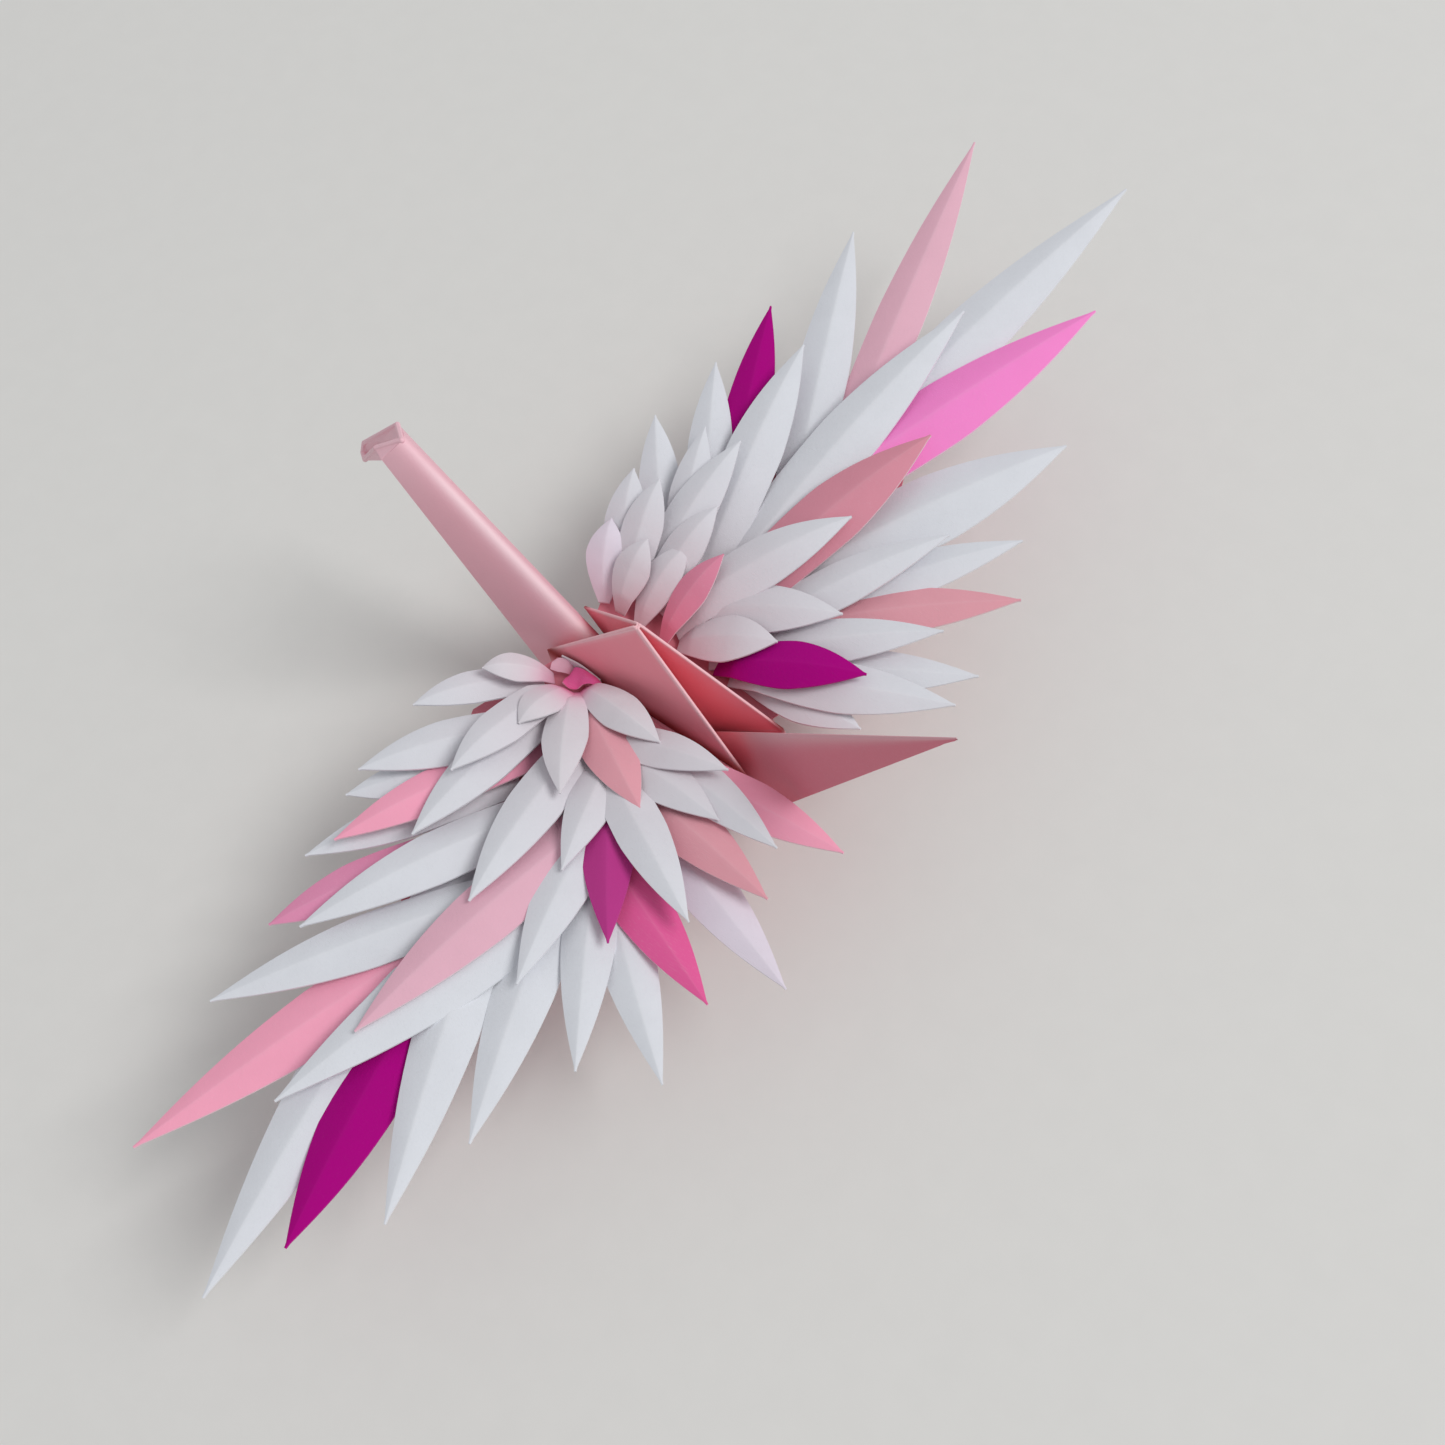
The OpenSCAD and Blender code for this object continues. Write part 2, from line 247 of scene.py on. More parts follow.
@dataclass(frozen=True)
class PaperTooth:
    """The felt-like surface of uncoated paper: fine tooth, loose fibres and cloudy formation."""

    tooth_size: float = 0.5
    tooth_detail: float = 3.0
    cloud_size: float = 5.0
    cloud_detail: float = 4.0
    grain: float = 0.55
    fibre_length: float = 2.4
    fibre_width: float = 0.12
    fibre_angles: tuple[float, ...] = (20.0, 75.0, 140.0)
    fibre_tilt: tuple[float, float, float] = (1 / 3, 1 / 2, 1.0)
    fibre_bend: float = 0.4
    fibre_band: tuple[float, float] = (0.62, 0.74)
    fibre_height: float = 0.6

    @cache
    def group(self) -> bpy.types.NodeTree:
        """Makes the shader group of the sheet's surface, once.

        Returns:
            The group, which puts out the height, the clouds and the fibres.
        """
        outputs = dict.fromkeys(("Height", "Clouds", "Fibres"), VALUE)
        nodes, _, out = new_group("paper_tooth", {}, outputs)
        place = nodes.add("TexCoord").outputs["Object"]
        tooth = self.noise(nodes, place, self.tooth_size, self.tooth_detail)
        clouds = self.noise(nodes, place, self.cloud_size, self.cloud_detail)
        fibres, *others = (self.strands(nodes, place, angle) for angle in self.fibre_angles)
        for strand in others:
            fibres = nodes.math("MAXIMUM", fibres, strand)
        height = nodes.math("ADD", tooth, nodes.math("MULTIPLY", fibres, self.fibre_height))
        nodes.set(out, Height=height, Clouds=clouds, Fibres=fibres)
        return nodes.tree

    def noise(self, nodes: NodeTree, place: Socket, size: float, detail: float) -> Socket:
        """Places a noise texture.

        Args:
            nodes: The tree to place it in.
            place: The coordinates.
            size: Size of the noise's cells in millimetres.
            detail: Octaves of finer noise.

        Returns:
            The socket with the noise value.
        """
        node = nodes.add("TexNoise")
        nodes.set(node, Vector=place, Scale=1 / (size * MM), Detail=detail, Roughness=self.grain)
        return node.outputs[0]

    def strands(self, nodes: NodeTree, place: Socket, angle: float) -> Socket:
        """Places loose fibres that lie in about one direction.

        Args:
            nodes: The tree to place them in.
            place: The coordinates.
            angle: Direction of the fibres in degrees.

        Returns:
            The socket with a mask that is 1 on a fibre.
        """
        turns = [math.radians(angle) * share for share in self.fibre_tilt]
        along, across = 1 / (self.fibre_length * MM), 1 / (self.fibre_width * MM)
        laid = nodes.add("Mapping")
        nodes.set(laid, Vector=place, Rotation=turns, Scale=(along, across, across))
        node = nodes.add("TexNoise")
        nodes.set(node, Vector=laid.outputs[0], Scale=1.0, Detail=1.0, Distortion=self.fibre_bend)
        return nodes.ramp(node.outputs[0], *self.fibre_band)


@dataclass(frozen=True)
class DyedSheet:
    """How dye lies on a sheet: paler where it is cut, folded or fibrous, with painted shade and painted
    light mixed over it.
    """

    fibre_share: float = 0.05
    least_rough: float = 0.72
    rough_spread: float = 0.2
    wall_band: tuple[float, float] = (3.3, 4.3)

    @cache
    def valley(self) -> bpy.types.NodeTree:
        """Makes the shader group of the painted shade in the fold by the wings, once.

        Returns:
            The group, which puts out how strongly the painted shade darkens a point of the hump's walls
            by that fold.
        """
        nodes, into, out = new_group("valley", {"Level": VALUE, "Reach": VALUE}, {"Depth": VALUE})
        split = nodes.add("SeparateXYZ")
        nodes.set(split, Vector=nodes.add("TexCoord").outputs["Object"])
        # Painted shade, strongest at the fold's level and fading above and below it.
        above = nodes.math("SUBTRACT", split.outputs["Z"], into.outputs["Level"])
        low, high = (edge * MM for edge in self.wall_band)
        # The painted shade keeps to the outer walls, off the pocket inside.
        on_wall = nodes.ramp(nodes.math("ABSOLUTE", split.outputs["Y"]), low, high)
        depth = nodes.math("MULTIPLY", nodes.bell(above, into.outputs["Reach"]), on_wall)
        nodes.set(out, Depth=depth)
        return nodes.tree

    @cache
    def stain(self) -> bpy.types.NodeTree:
        """Makes the shader group of a soft spot of painted light, once.

        Returns:
            The group, which puts out how near to the spot's middle a point lies.
        """
        nodes, into, out = new_group("stain", {"Place": VECTOR, "Reach": VALUE}, {"Depth": VALUE})
        apart = nodes.add("VectorMath", operation="DISTANCE")
        nodes.feed(apart.inputs[0], nodes.add("TexCoord").outputs["Object"])
        nodes.feed(apart.inputs[1], into.outputs["Place"])
        nodes.set(out, Depth=nodes.bell(apart.outputs["Value"], into.outputs["Reach"]))
        return nodes.tree

    @cache
    def group(self) -> bpy.types.NodeTree:
        """Makes the shader group of the dyed sheet with its painted shade and painted light, once.

        Returns:
            The group, which puts out its colour and its roughness.
        """
        shares = ("Clouds", "Fibres", "Cut Edge", "Crease", "Cloudiness", "Smoothness", "Depth")
        inputs = dict.fromkeys(("Dye", "Core", "Shade"), COLOUR) | dict.fromkeys(shares, VALUE)
        nodes, into, out = new_group("dyed_sheet", inputs, {"Color": COLOUR, "Roughness": VALUE})
        given = into.outputs
        spread = nodes.math("MULTIPLY", nodes.math("SUBTRACT", given["Clouds"], 0.5), 2.0)
        tone = nodes.math("ADD", 1.0, nodes.math("MULTIPLY", spread, given["Cloudiness"]))
        grey = nodes.set(nodes.add("CombineColor"), Red=tone, Green=tone, Blue=tone)
        colour = nodes.mix("MULTIPLY", 1.0, given["Dye"], grey.outputs[0])
        fold = nodes.add("Attribute", attribute_name="fold").outputs["Fac"]
        cut = nodes.add("Attribute", attribute_name="cut").outputs["Fac"]
        pale = (
            (given["Fibres"], self.fibre_share),
            (fold, given["Crease"]),
            (cut, given["Cut Edge"]),
        )
        for mask, share in pale:
            colour = nodes.mix("MIX", nodes.math("MULTIPLY", mask, share), colour, given["Core"])
        # Mixes painted shade or painted light, in the Shade colour, over the dye.
        colour = nodes.mix("MIX", given["Depth"], colour, given["Shade"])
        cloudy = nodes.math("MULTIPLY", given["Clouds"], self.rough_spread)
        rough = nodes.math("ADD", self.least_rough, cloudy)
        nodes.set(out, Color=colour, Roughness=nodes.math("SUBTRACT", rough, given["Smoothness"]))
        return nodes.tree


@dataclass(frozen=True)
class PaperFinish:
    """One dyed paper: its colour, how its edges and folds show and where painted shade or painted light
    lies on it.
    """

    slot: str
    dye: Colour
    core: Colour = (0.97, 0.96, 0.96)
    cut_edge: float = 0.45
    crease: float = 0.05
    cloudiness: float = 0.05
    tooth_strength: float = 0.4
    tooth_depth: float = 0.05
    gloss: float = 0.25
    smoothness: float = 0.0
    part: str = "sheet"
    # The shade colour is painted over the dye: as painted shade in the fold by the wings, or as painted
    # light in a soft spot.
    shade: Colour = (0.62, 0.20, 0.20)
    shade_level: float = 18.8
    shade_reach: float = 0.0
    # Middle and size of a soft spot of painted light, in the shade colour.
    stain_at: Place = (11.2, 7.0, 20.4)
    stain_reach: float = 0.0

    @cache
    def material(self) -> bpy.types.Material:
        """Makes the finish as a Blender material, once.

        Returns:
            The material.
        """
        made = bpy.data.materials.new(f"{self.slot}_{self.part}")
        made.use_nodes = True
        made.node_tree.nodes.clear()
        nodes = NodeTree(made.node_tree)
        tooth = nodes.add("Group", node_tree=PaperTooth().group()).outputs
        sheet = nodes.add("Group", node_tree=DyedSheet().group())
        nodes.set(
            sheet,
            Dye=linear(self.dye),
            Core=linear(self.core),
            Shade=linear(self.shade),
            Cut_Edge=self.cut_edge,
            Crease=self.crease,
            Cloudiness=self.cloudiness,
            Smoothness=self.smoothness,
            Clouds=tooth["Clouds"],
            Fibres=tooth["Fibres"],
        )
        # Painted shade in the fold by the wings.
        if self.shade_reach > 0:
            valley = nodes.add("Group", node_tree=DyedSheet().valley())
            nodes.set(valley, Level=self.shade_level * MM, Reach=self.shade_reach * MM)
            nodes.set(sheet, Depth=valley.outputs["Depth"])
        # A soft spot of painted light, such as pink light reflected from nearby paper.
        if self.stain_reach > 0:
            stain = nodes.add("Group", node_tree=DyedSheet().stain())
            nodes.set(stain, Place=[value * MM for value in self.stain_at], Reach=self.stain_reach * MM)
            nodes.set(sheet, Depth=stain.outputs["Depth"])
        bump = nodes.add("Bump")
        depth = self.tooth_depth * MM
        nodes.set(bump, Strength=self.tooth_strength, Distance=depth, Height=tooth["Height"])
        paper = nodes.add("BsdfPrincipled")
        nodes.set(
            paper,
            Specular_IOR_Level=self.gloss,
            Base_Color=sheet.outputs["Color"],
            Roughness=sheet.outputs["Roughness"],
            Normal=bump.outputs["Normal"],
        )
        nodes.set(nodes.add("OutputMaterial"), Surface=paper.outputs[0])
        return made


class Paper(Enum):
    """The papers that the crane and its feathers are cut from, some in lighter and darker copies that
    carry painted light and painted shade.
    """

    # CRANE, NECK, HEAD and FOLD are copies of the one crane paper, lighter or darker as light falls on
    # each part; CRANE serves the tail, the wing panels and the crease strips.
    CRANE = PaperFinish("crane_paper", (0.87, 0.51, 0.57), crease=0.3, cloudiness=0.03)
    # The neck's copy: a paler dye as painted sheen, a crease lightening that paints the highlight along
    # its spine, and painted light that blends it into the head's paler tone near the head.
    NECK = PaperFinish(
        "crane_paper",
        (0.975, 0.725, 0.775),
        part="neck",
        crease=0.42,
        cloudiness=0.03,
        gloss=0.5,
        smoothness=0.3,
        shade=(0.96, 0.755, 0.80),
        stain_at=(42.0, 1.2, 47.3),
        stain_reach=8.0,
    )
    # The head's copy: a paler dye as painted light, for the glow of thin paper lit from behind.
    HEAD = PaperFinish(
        "crane_paper", (0.96, 0.755, 0.80), part="head", crease=0.2, gloss=0.5, smoothness=0.3
    )
    # The hump's copy: a lighter dye as painted light on its shaded walls, and painted shade in the fold
    # by the wings.
    FOLD = PaperFinish(
        "crane_paper", (1.0, 0.62, 0.67), part="fold", crease=0.4, cloudiness=0.03, shade_reach=2.2
    )
    # Painted pink light round the crane's body, for light reflected onto the white feathers from the
    # pink paper.
    WHITE = PaperFinish(
        "white_paper",
        (0.88, 0.887, 0.908),
        core=(0.94, 0.94, 0.95),
        crease=0.2,
        shade=(0.845, 0.785, 0.81),
        stain_at=(1.7, 0.0, 20.0),
        stain_reach=22.0,
    )
    # White paper with painted pink light: a pinker dye and a strong pink spot by the hot-pink petal, for
    # light reflected from the pink paper and the petal.
    STAINED = PaperFinish(
        "white_paper",
        (0.865, 0.842, 0.862),
        part="stained",
        core=(0.94, 0.94, 0.95),
        crease=0.2,
        shade=(0.95, 0.55, 0.72),
        stain_reach=4.6,
    )
    # A darker copy of the blush paper: painted shade for a feather facing away from the light.
    DUSTY = PaperFinish("blush_paper", (0.86, 0.565, 0.63), part="dusty")
    # A darker copy of the rose paper: painted shade for a feather facing away from the light.
    DEEP = PaperFinish("rose_paper", (0.87, 0.535, 0.635), part="deep")
    PETAL = PaperFinish("hot_pink_paper", (0.92, 0.38, 0.62), part="petal")
    FADED = PaperFinish("hot_pink_paper", (0.90, 0.57, 0.71), part="faded")
    BRIGHT = PaperFinish("plum_paper", (0.74, 0.22, 0.54), part="bright", core=(0.85, 0.4, 0.7))
    LILAC = PaperFinish("lilac_paper", (0.90, 0.86, 0.905))
    BLUSH = PaperFinish("blush_paper", (0.915, 0.71, 0.775))
    ROSE = PaperFinish("rose_paper", (0.99, 0.66, 0.76))
    SALMON = PaperFinish("salmon_paper", (0.905, 0.635, 0.68))
    HOT = PaperFinish("hot_pink_paper", (1.0, 0.55, 0.83))
    PLUM = PaperFinish("plum_paper", (0.68, 0.0, 0.50), core=(0.78, 0.25, 0.62), gloss=0.1)


@dataclass
class MeshPile:
    """Closed sheets of paper gathered into one mesh."""

    points: list[Points] = field(default_factory=list)
    folds: list[Points] = field(default_factory=list)
    faces: list[tuple[int, ...]] = field(default_factory=list)
    cuts: list[float] = field(default_factory=list)
    count: int = 0
    edge_steps: int = 14
    corner_steps: int = 4
    rim_steps: int = 6
    insets: tuple[float, ...] = (0.3, 0.55, 0.75, 0.88, 0.95, 0.985)
    fold_fall: float = 60.0
    tube_sides: int = 8
    aside: Place = (0.3, 0.1, 1.0)
    ball_rings: int = 7
    ball_sides: int = 10

    def keep(self, points: Points, fold: Points) -> int:
        """Adds points.

        Args:
            points: Places in millimetres, one row each.
            fold: How much each point lies on a fold, from 0 to 1.

        Returns:
            The number of the first added point.
        """
        first = self.count
        self.points.append(points)
        self.folds.append(fold)
        self.count += len(points)
        return first

    def face(self, *corners: int, cut: float = 0.0) -> None:
        """Adds a face, with cut 1 where it is a cut edge of the paper."""
        self.faces.append(corners)
        self.cuts.append(cut)

    def add_sheet(self, lower: Points, upper: Points, fold: Points, cut: float = 1.0) -> None:
        """Adds a sheet between two grids of points.

        Args:
            lower: Grid of the lower face, rows by columns by 3.
            upper: Grid of the upper face.
            fold: How much each grid point lies on a fold.
            cut: How freshly cut its rim is, from 0 to 1.
        """
        rows, columns = lower.shape[:2]
        over = self.keep(upper.reshape(-1, 3), fold.ravel())
        under = self.keep(lower.reshape(-1, 3), fold.ravel())
        index = np.arange(rows * columns).reshape(rows, columns)
        quads = np.stack([index[:-1, :-1], index[1:, :-1], index[1:, 1:], index[:-1, 1:]], axis=-1)
        for quad in quads.reshape(-1, 4).tolist():
            self.face(*(over + corner for corner in quad))
            self.face(*(under + corner for corner in reversed(quad)))
        sides = (index[0], index[1:, -1], index[-1, -2::-1], index[-2:0:-1, 0])
        rim = np.concatenate(sides).tolist()
        for a, b in zip(rim, rim[1:] + rim[:1]):
            self.face(over + a, over + b, under + b, under + a, cut=cut)

    def add_paper(self, middle: Points, thickness: float, fold: Points, cut: float = 1.0) -> None:
        """Adds a curved sheet of even thickness.

        Args:
            middle: Grid of points halfway through the paper, rows by columns by 3.
            thickness: How thick the paper is.
            fold: How much each grid point lies on a fold.
            cut: How freshly cut its rim is, from 0 to 1.
        """
        normal = unit(np.cross(np.gradient(middle, axis=0), np.gradient(middle, axis=1)))
        half = normal * thickness / 2
        self.add_sheet(middle - half, middle + half, fold, cut)

    def add_skin(self, rings: list[Points], folds: list[float], poles: list[Points]) -> None:
        """Adds a closed skin over a row of rings.

        Args:
            rings: Rings of points, all with the same number of them.
            folds: How much each ring lies on a fold.
            poles: Points that close the first ring and the last. Without them those are faces.
        """
        size = len(rings[0])
        starts = [self.keep(ring, np.full(size, fold)) for ring, fold in zip(rings, folds)]
        for first, second in zip(starts, starts[1:]):
            for k in range(size):
                after = (k + 1) % size
                self.face(first + k, first + after, second + after, second + k)
        ends = (starts[0], starts[-1])
        for start, pole in zip(ends, poles):
            hub = self.keep(pole[None], np.zeros(1))
            for k in range(size):
                self.face(start + k, start + (k + 1) % size, hub)
        if not poles:
            for start in ends:
                self.face(*range(start, start + size))

    def add_plate(self, corners: list[Points], radius: float, edge_fold: float = 1.0) -> None:
        """Adds a flat panel between folds, with round edges.

        Args:
            corners: The panel's corners in order, in one plane.
            radius: Half of the panel's thickness.
            edge_fold: How much its edges look like folds, from 0 to 1.
        """
        ring = np.array(corners)
        ahead = np.roll(ring, -1, axis=0)
        middle = ring.mean(axis=0)
        normal = unit(np.cross(ring - middle, ahead - middle).sum(axis=0))
        outward = unit(np.cross(ahead - ring, normal))
        base, way = [], []
        for here, after, before_out, out in zip(ring, ahead, np.roll(outward, 1, axis=0), outward):
            for share in np.linspace(0, 1, self.corner_steps + 1):
                base.append(here)
                way.append(unit((1 - share) * before_out + share * out))
            for share in np.linspace(0, 1, self.edge_steps + 1)[1:-1]:
                base.append(here + (after - here) * share)
                way.append(out)
        spokes = np.array(base) - middle
        rings, folds = [], []
        for inset in self.insets:
            rings.append(middle + inset * spokes + radius * normal)
            folds.append(edge_fold * math.exp(-(1 - inset) * self.fold_fall))
        below = [level - 2 * radius * normal for level in reversed(rings)]
        rim_folds = [edge_fold] * (self.rim_steps + 1)
        for lean in np.linspace(np.pi / 2, -np.pi / 2, self.rim_steps + 1):
            turned = math.cos(lean) * np.array(way) + math.sin(lean) * normal
            rings.append(middle + spokes + radius * turned)
        poles = [middle + radius * normal, middle - radius * normal]
        self.add_skin(rings + below, folds + rim_folds + folds[::-1], poles)

    def add_tube(self, path: Points, radius: float, fold: float = 1.0) -> None:
        """Adds a rounded fold: a closed tube along a path.

        Args:
            path: Points along its middle.
            radius: Its radius.
            fold: How much it looks like a fold, from 0 to 1.
        """
        way = unit(np.gradient(path, axis=0))
        up = unit(np.cross(way, np.array(self.aside)))
        turns = np.linspace(0, 2 * np.pi, self.tube_sides, endpoint=False)[:, None]
        ring = np.cos(turns) * up[:, None] + np.sin(turns) * np.cross(way, up)[:, None]
        self.add_skin(list(path[:, None] + radius * ring), [fold] * len(path), [])

    def add_ball(self, centre: Points, radius: float) -> None:
        """Adds a ball that rounds off a corner between tubes.

        Args:
            centre: Its middle.
            radius: Its radius.
        """
        turns = np.linspace(0, 2 * np.pi, self.ball_sides, endpoint=False)
        circle = np.stack([np.cos(turns), np.sin(turns), 0 * turns], axis=1)
        top = np.array([0.0, 0.0, radius])
        rings = [
            centre + radius * math.cos(lift) * circle + math.sin(lift) * top
            for lift in np.linspace(-np.pi / 2, np.pi / 2, self.ball_rings)[1:-1]
        ]
        self.add_skin(rings, [0.0] * len(rings), [centre - top, centre + top])

    def build(self, name: str, paper: Paper) -> bpy.types.Object:
        """Makes the object.

        Args:
            name: The piece's name.
            paper: The paper that it is made of.

        Returns:
            The new object, in metres.
        """
        mesh = bpy.data.meshes.new(name)
        mesh.from_pydata((np.concatenate(self.points) * MM).tolist(), [], self.faces)
        masks = (("fold", "POINT", np.concatenate(self.folds)), ("cut", "FACE", np.array(self.cuts)))
        for mask, domain, values in masks:
            shown = mesh.attributes.new(mask, "FLOAT", domain)
            shown.data.foreach_set("value", values.astype(np.float32))
        work = bmesh.new()
        work.from_mesh(mesh)
        bmesh.ops.remove_doubles(work, verts=work.verts, dist=WELD * MM)
        bmesh.ops.dissolve_degenerate(work, edges=work.edges, dist=SLIVER * MM)
        bmesh.ops.recalc_face_normals(work, faces=work.faces)
        work.to_mesh(mesh)
        work.free()
        mesh.shade_smooth()
        mesh.set_sharp_from_angle(angle=SHARP_ANGLE)
        mesh.materials.append(paper.value.material())
        made = bpy.data.objects.new(name, mesh)
        bpy.context.scene.collection.objects.link(made)
        LOG.info("%s: %d faces of %s", name, len(mesh.polygons), paper.value.slot)
        return made


@dataclass(frozen=True)
class Feather:
    """One cut feather: its place in the fan, its reach and its paper."""

    angle: float
    reach: float
    paper: Paper = Paper.WHITE
    layer: float = 0.0
    breadth: float = 1.0
    heading: float | None = None
    length: float | None = None


@dataclass(frozen=True)
class FeatherRow:
    """One row of a wing's fan, from the lowest and longest to the topmost."""

    name: str
    centre: tuple[float, float]
    tail_root: float
    neck_root: float
    out_root: float
    tip_height: float
    layer_rise: float
    fanned: bool
    seat: float
    base_share: float
    widening: float = 1.0
    fan_turn: float = 0.3
    longest: float = 95.0
    hub: tuple[float, float] | None = None
    clear: float = 0.6

    def tip(self, feather: Feather) -> Points:
        """Place of the feather's tip in the wing's plane."""
        return np.array(self.centre) + feather.reach * heading(feather.angle)

    def root(self, feather: Feather) -> Points:
        """Place of a feather's root.

        Args:
            feather: The feather.

        Returns:
            The root in the wing's plane.
        """
        sine, cosine = heading(feather.angle)
        across = self.tail_root if feather.angle < 0 else self.neck_root
        if not self.fanned:
            return np.array(self.hub or self.centre) + np.array([across * sine, self.out_root * cosine])
        inner = 1 / math.hypot(sine / across, cosine / self.out_root)
        turned = feather.angle * (1 + self.fan_turn * (feather.reach / self.longest) ** 2 * cosine)
        return self.tip(feather) - (feather.reach - inner) * heading(turned)

    def axis(self, feather: Feather) -> tuple[Points, Points]:
        """Line of a feather, turned to its own heading and kept clear of the crease.

        Args:
            feather: The feather.

        Returns:
            Its root and its tip in the wing's plane.
        """
        root, tip = self.root(feather), self.tip(feather)
        if feather.heading is None:
            return root, tip
        forward = heading(feather.heading)
        length = feather.length or float(np.linalg.norm(tip - root))
        if forward[1] > 0:
            length = min(length, (tip[1] - self.clear) / forward[1])
        return tip - length * forward, tip


@dataclass(frozen=True)
class FeatherCut:
    """How a feather is cut from the paper and creased along its middle."""

    paper_t: float = 0.3
    width: float = 4.2
    growth: float = 0.08
    widest: float = 0.54
    fullness: float = 1.2
    ogive: float = 0.6
    base_room: float = 4.0
    least_room: float = 0.35
    roof_slope: float = 16.0
    tip_w: float = 0.25
    lift_gain: float = 2.5
    rise_share: float = 0.15
    seat_share: float = 0.5
    layer_seat: float = 0.25
    crease_round: float = 0.05
    crease_fall: float = 18.0
    cheek: float = 0.02
    sway: float = 0.006
    rows: int = 34
    columns: tuple[float, ...] = (0.0, 0.04, 0.1, 0.25, 0.5, 0.75, 0.92, 1.0)

    def across(self) -> Points:
        """Places across the blade as shares of its half width, from one edge to the other."""
        return np.array([-share for share in self.columns[:0:-1]] + list(self.columns))

    def half_width(self, share: Points, width: float, base: float) -> Points:
        """Half width of the blade.

        Args:
            share: Shares of the blade's length.
            width: The blade's greatest width.
            base: Its width at the root.

        Returns:
            The half width at each share.
        """
        swell = np.sin(np.pi / 2 * np.clip(share / self.widest, 0, 1))
        lower = base + (width - base) * swell
        past = np.clip((share - self.widest) / (1 - self.widest), 0, 1)
        round_end = np.cos(np.pi / 2 * past**self.fullness)
        taper = self.ogive * round_end + (1 - self.ogive) * (1 - past)
        upper = np.maximum(self.tip_w, width * taper)
        return np.where(share < self.widest, lower, upper) / 2

    def stations(self) -> Points:
        """Shares of the blade's length, closer together at both of its ends."""
        even = np.linspace(0, 1, self.rows)
        return 0.5 * even + 0.5 * (1 - np.cos(np.pi * even)) / 2

    def grid(self, row: FeatherRow, feather: Feather, chance: random.Random) -> Points:
        """The lower face of a feather.

        Args:
            row: The row that it belongs to.
            feather: The feather.
            chance: Source of the small differences between feathers.

        Returns:
            A grid of points in the wing's plane, along by across by 3.
        """
        root, tip = row.axis(feather)
        length = float(np.linalg.norm(tip - root))
        width = row.widening * feather.breadth * (self.width + self.growth * length)
        lift = row.tip_height + self.lift_gain * (1 - feather.reach / row.longest)
        share = self.stations()
        opened = np.clip(share / self.rise_share, 0, 1)
        room = min(max(float(root[1]) / self.base_room, self.least_room), 1.0)
        half = self.half_width(share, width, row.base_share * room * width)
        seat = row.seat + self.layer_seat * feather.layer
        rise = lift * (1 - (1 - share) ** 2) + row.layer_rise * feather.layer * opened
        rise += seat * np.clip(1 - share / self.seat_share, 0, 1)
        ridge = half * math.tan(math.radians(self.roof_slope)) * opened
        across = self.across()
        soft = np.sqrt(across**2 + self.crease_round**2) - self.crease_round
        soft /= math.sqrt(1 + self.crease_round**2) - self.crease_round
        roof = ridge[:, None] * (1 - soft)[None, :]
        roof += self.cheek * half[:, None] * np.sin(np.pi * np.abs(across))[None, :]
        sway = self.sway * length * chance.uniform(-1, 1) * np.sin(np.pi * share)
        local_y = half[:, None] * across[None, :] + sway[:, None]
        forward = (tip - root) / length
        sideways = np.array([-forward[1], forward[0]])
        plan = root + (length * share)[:, None, None] * forward + local_y[:, :, None] * sideways
        height = rise[:, None] + roof + self.paper_t / 2
        return np.concatenate([plan, height[:, :, None]], axis=2)

    def fold_mask(self) -> Points:
        """How much each grid point lies on the centre fold."""
        return np.tile(np.exp(-np.abs(self.across()) * self.crease_fall), (self.rows, 1))


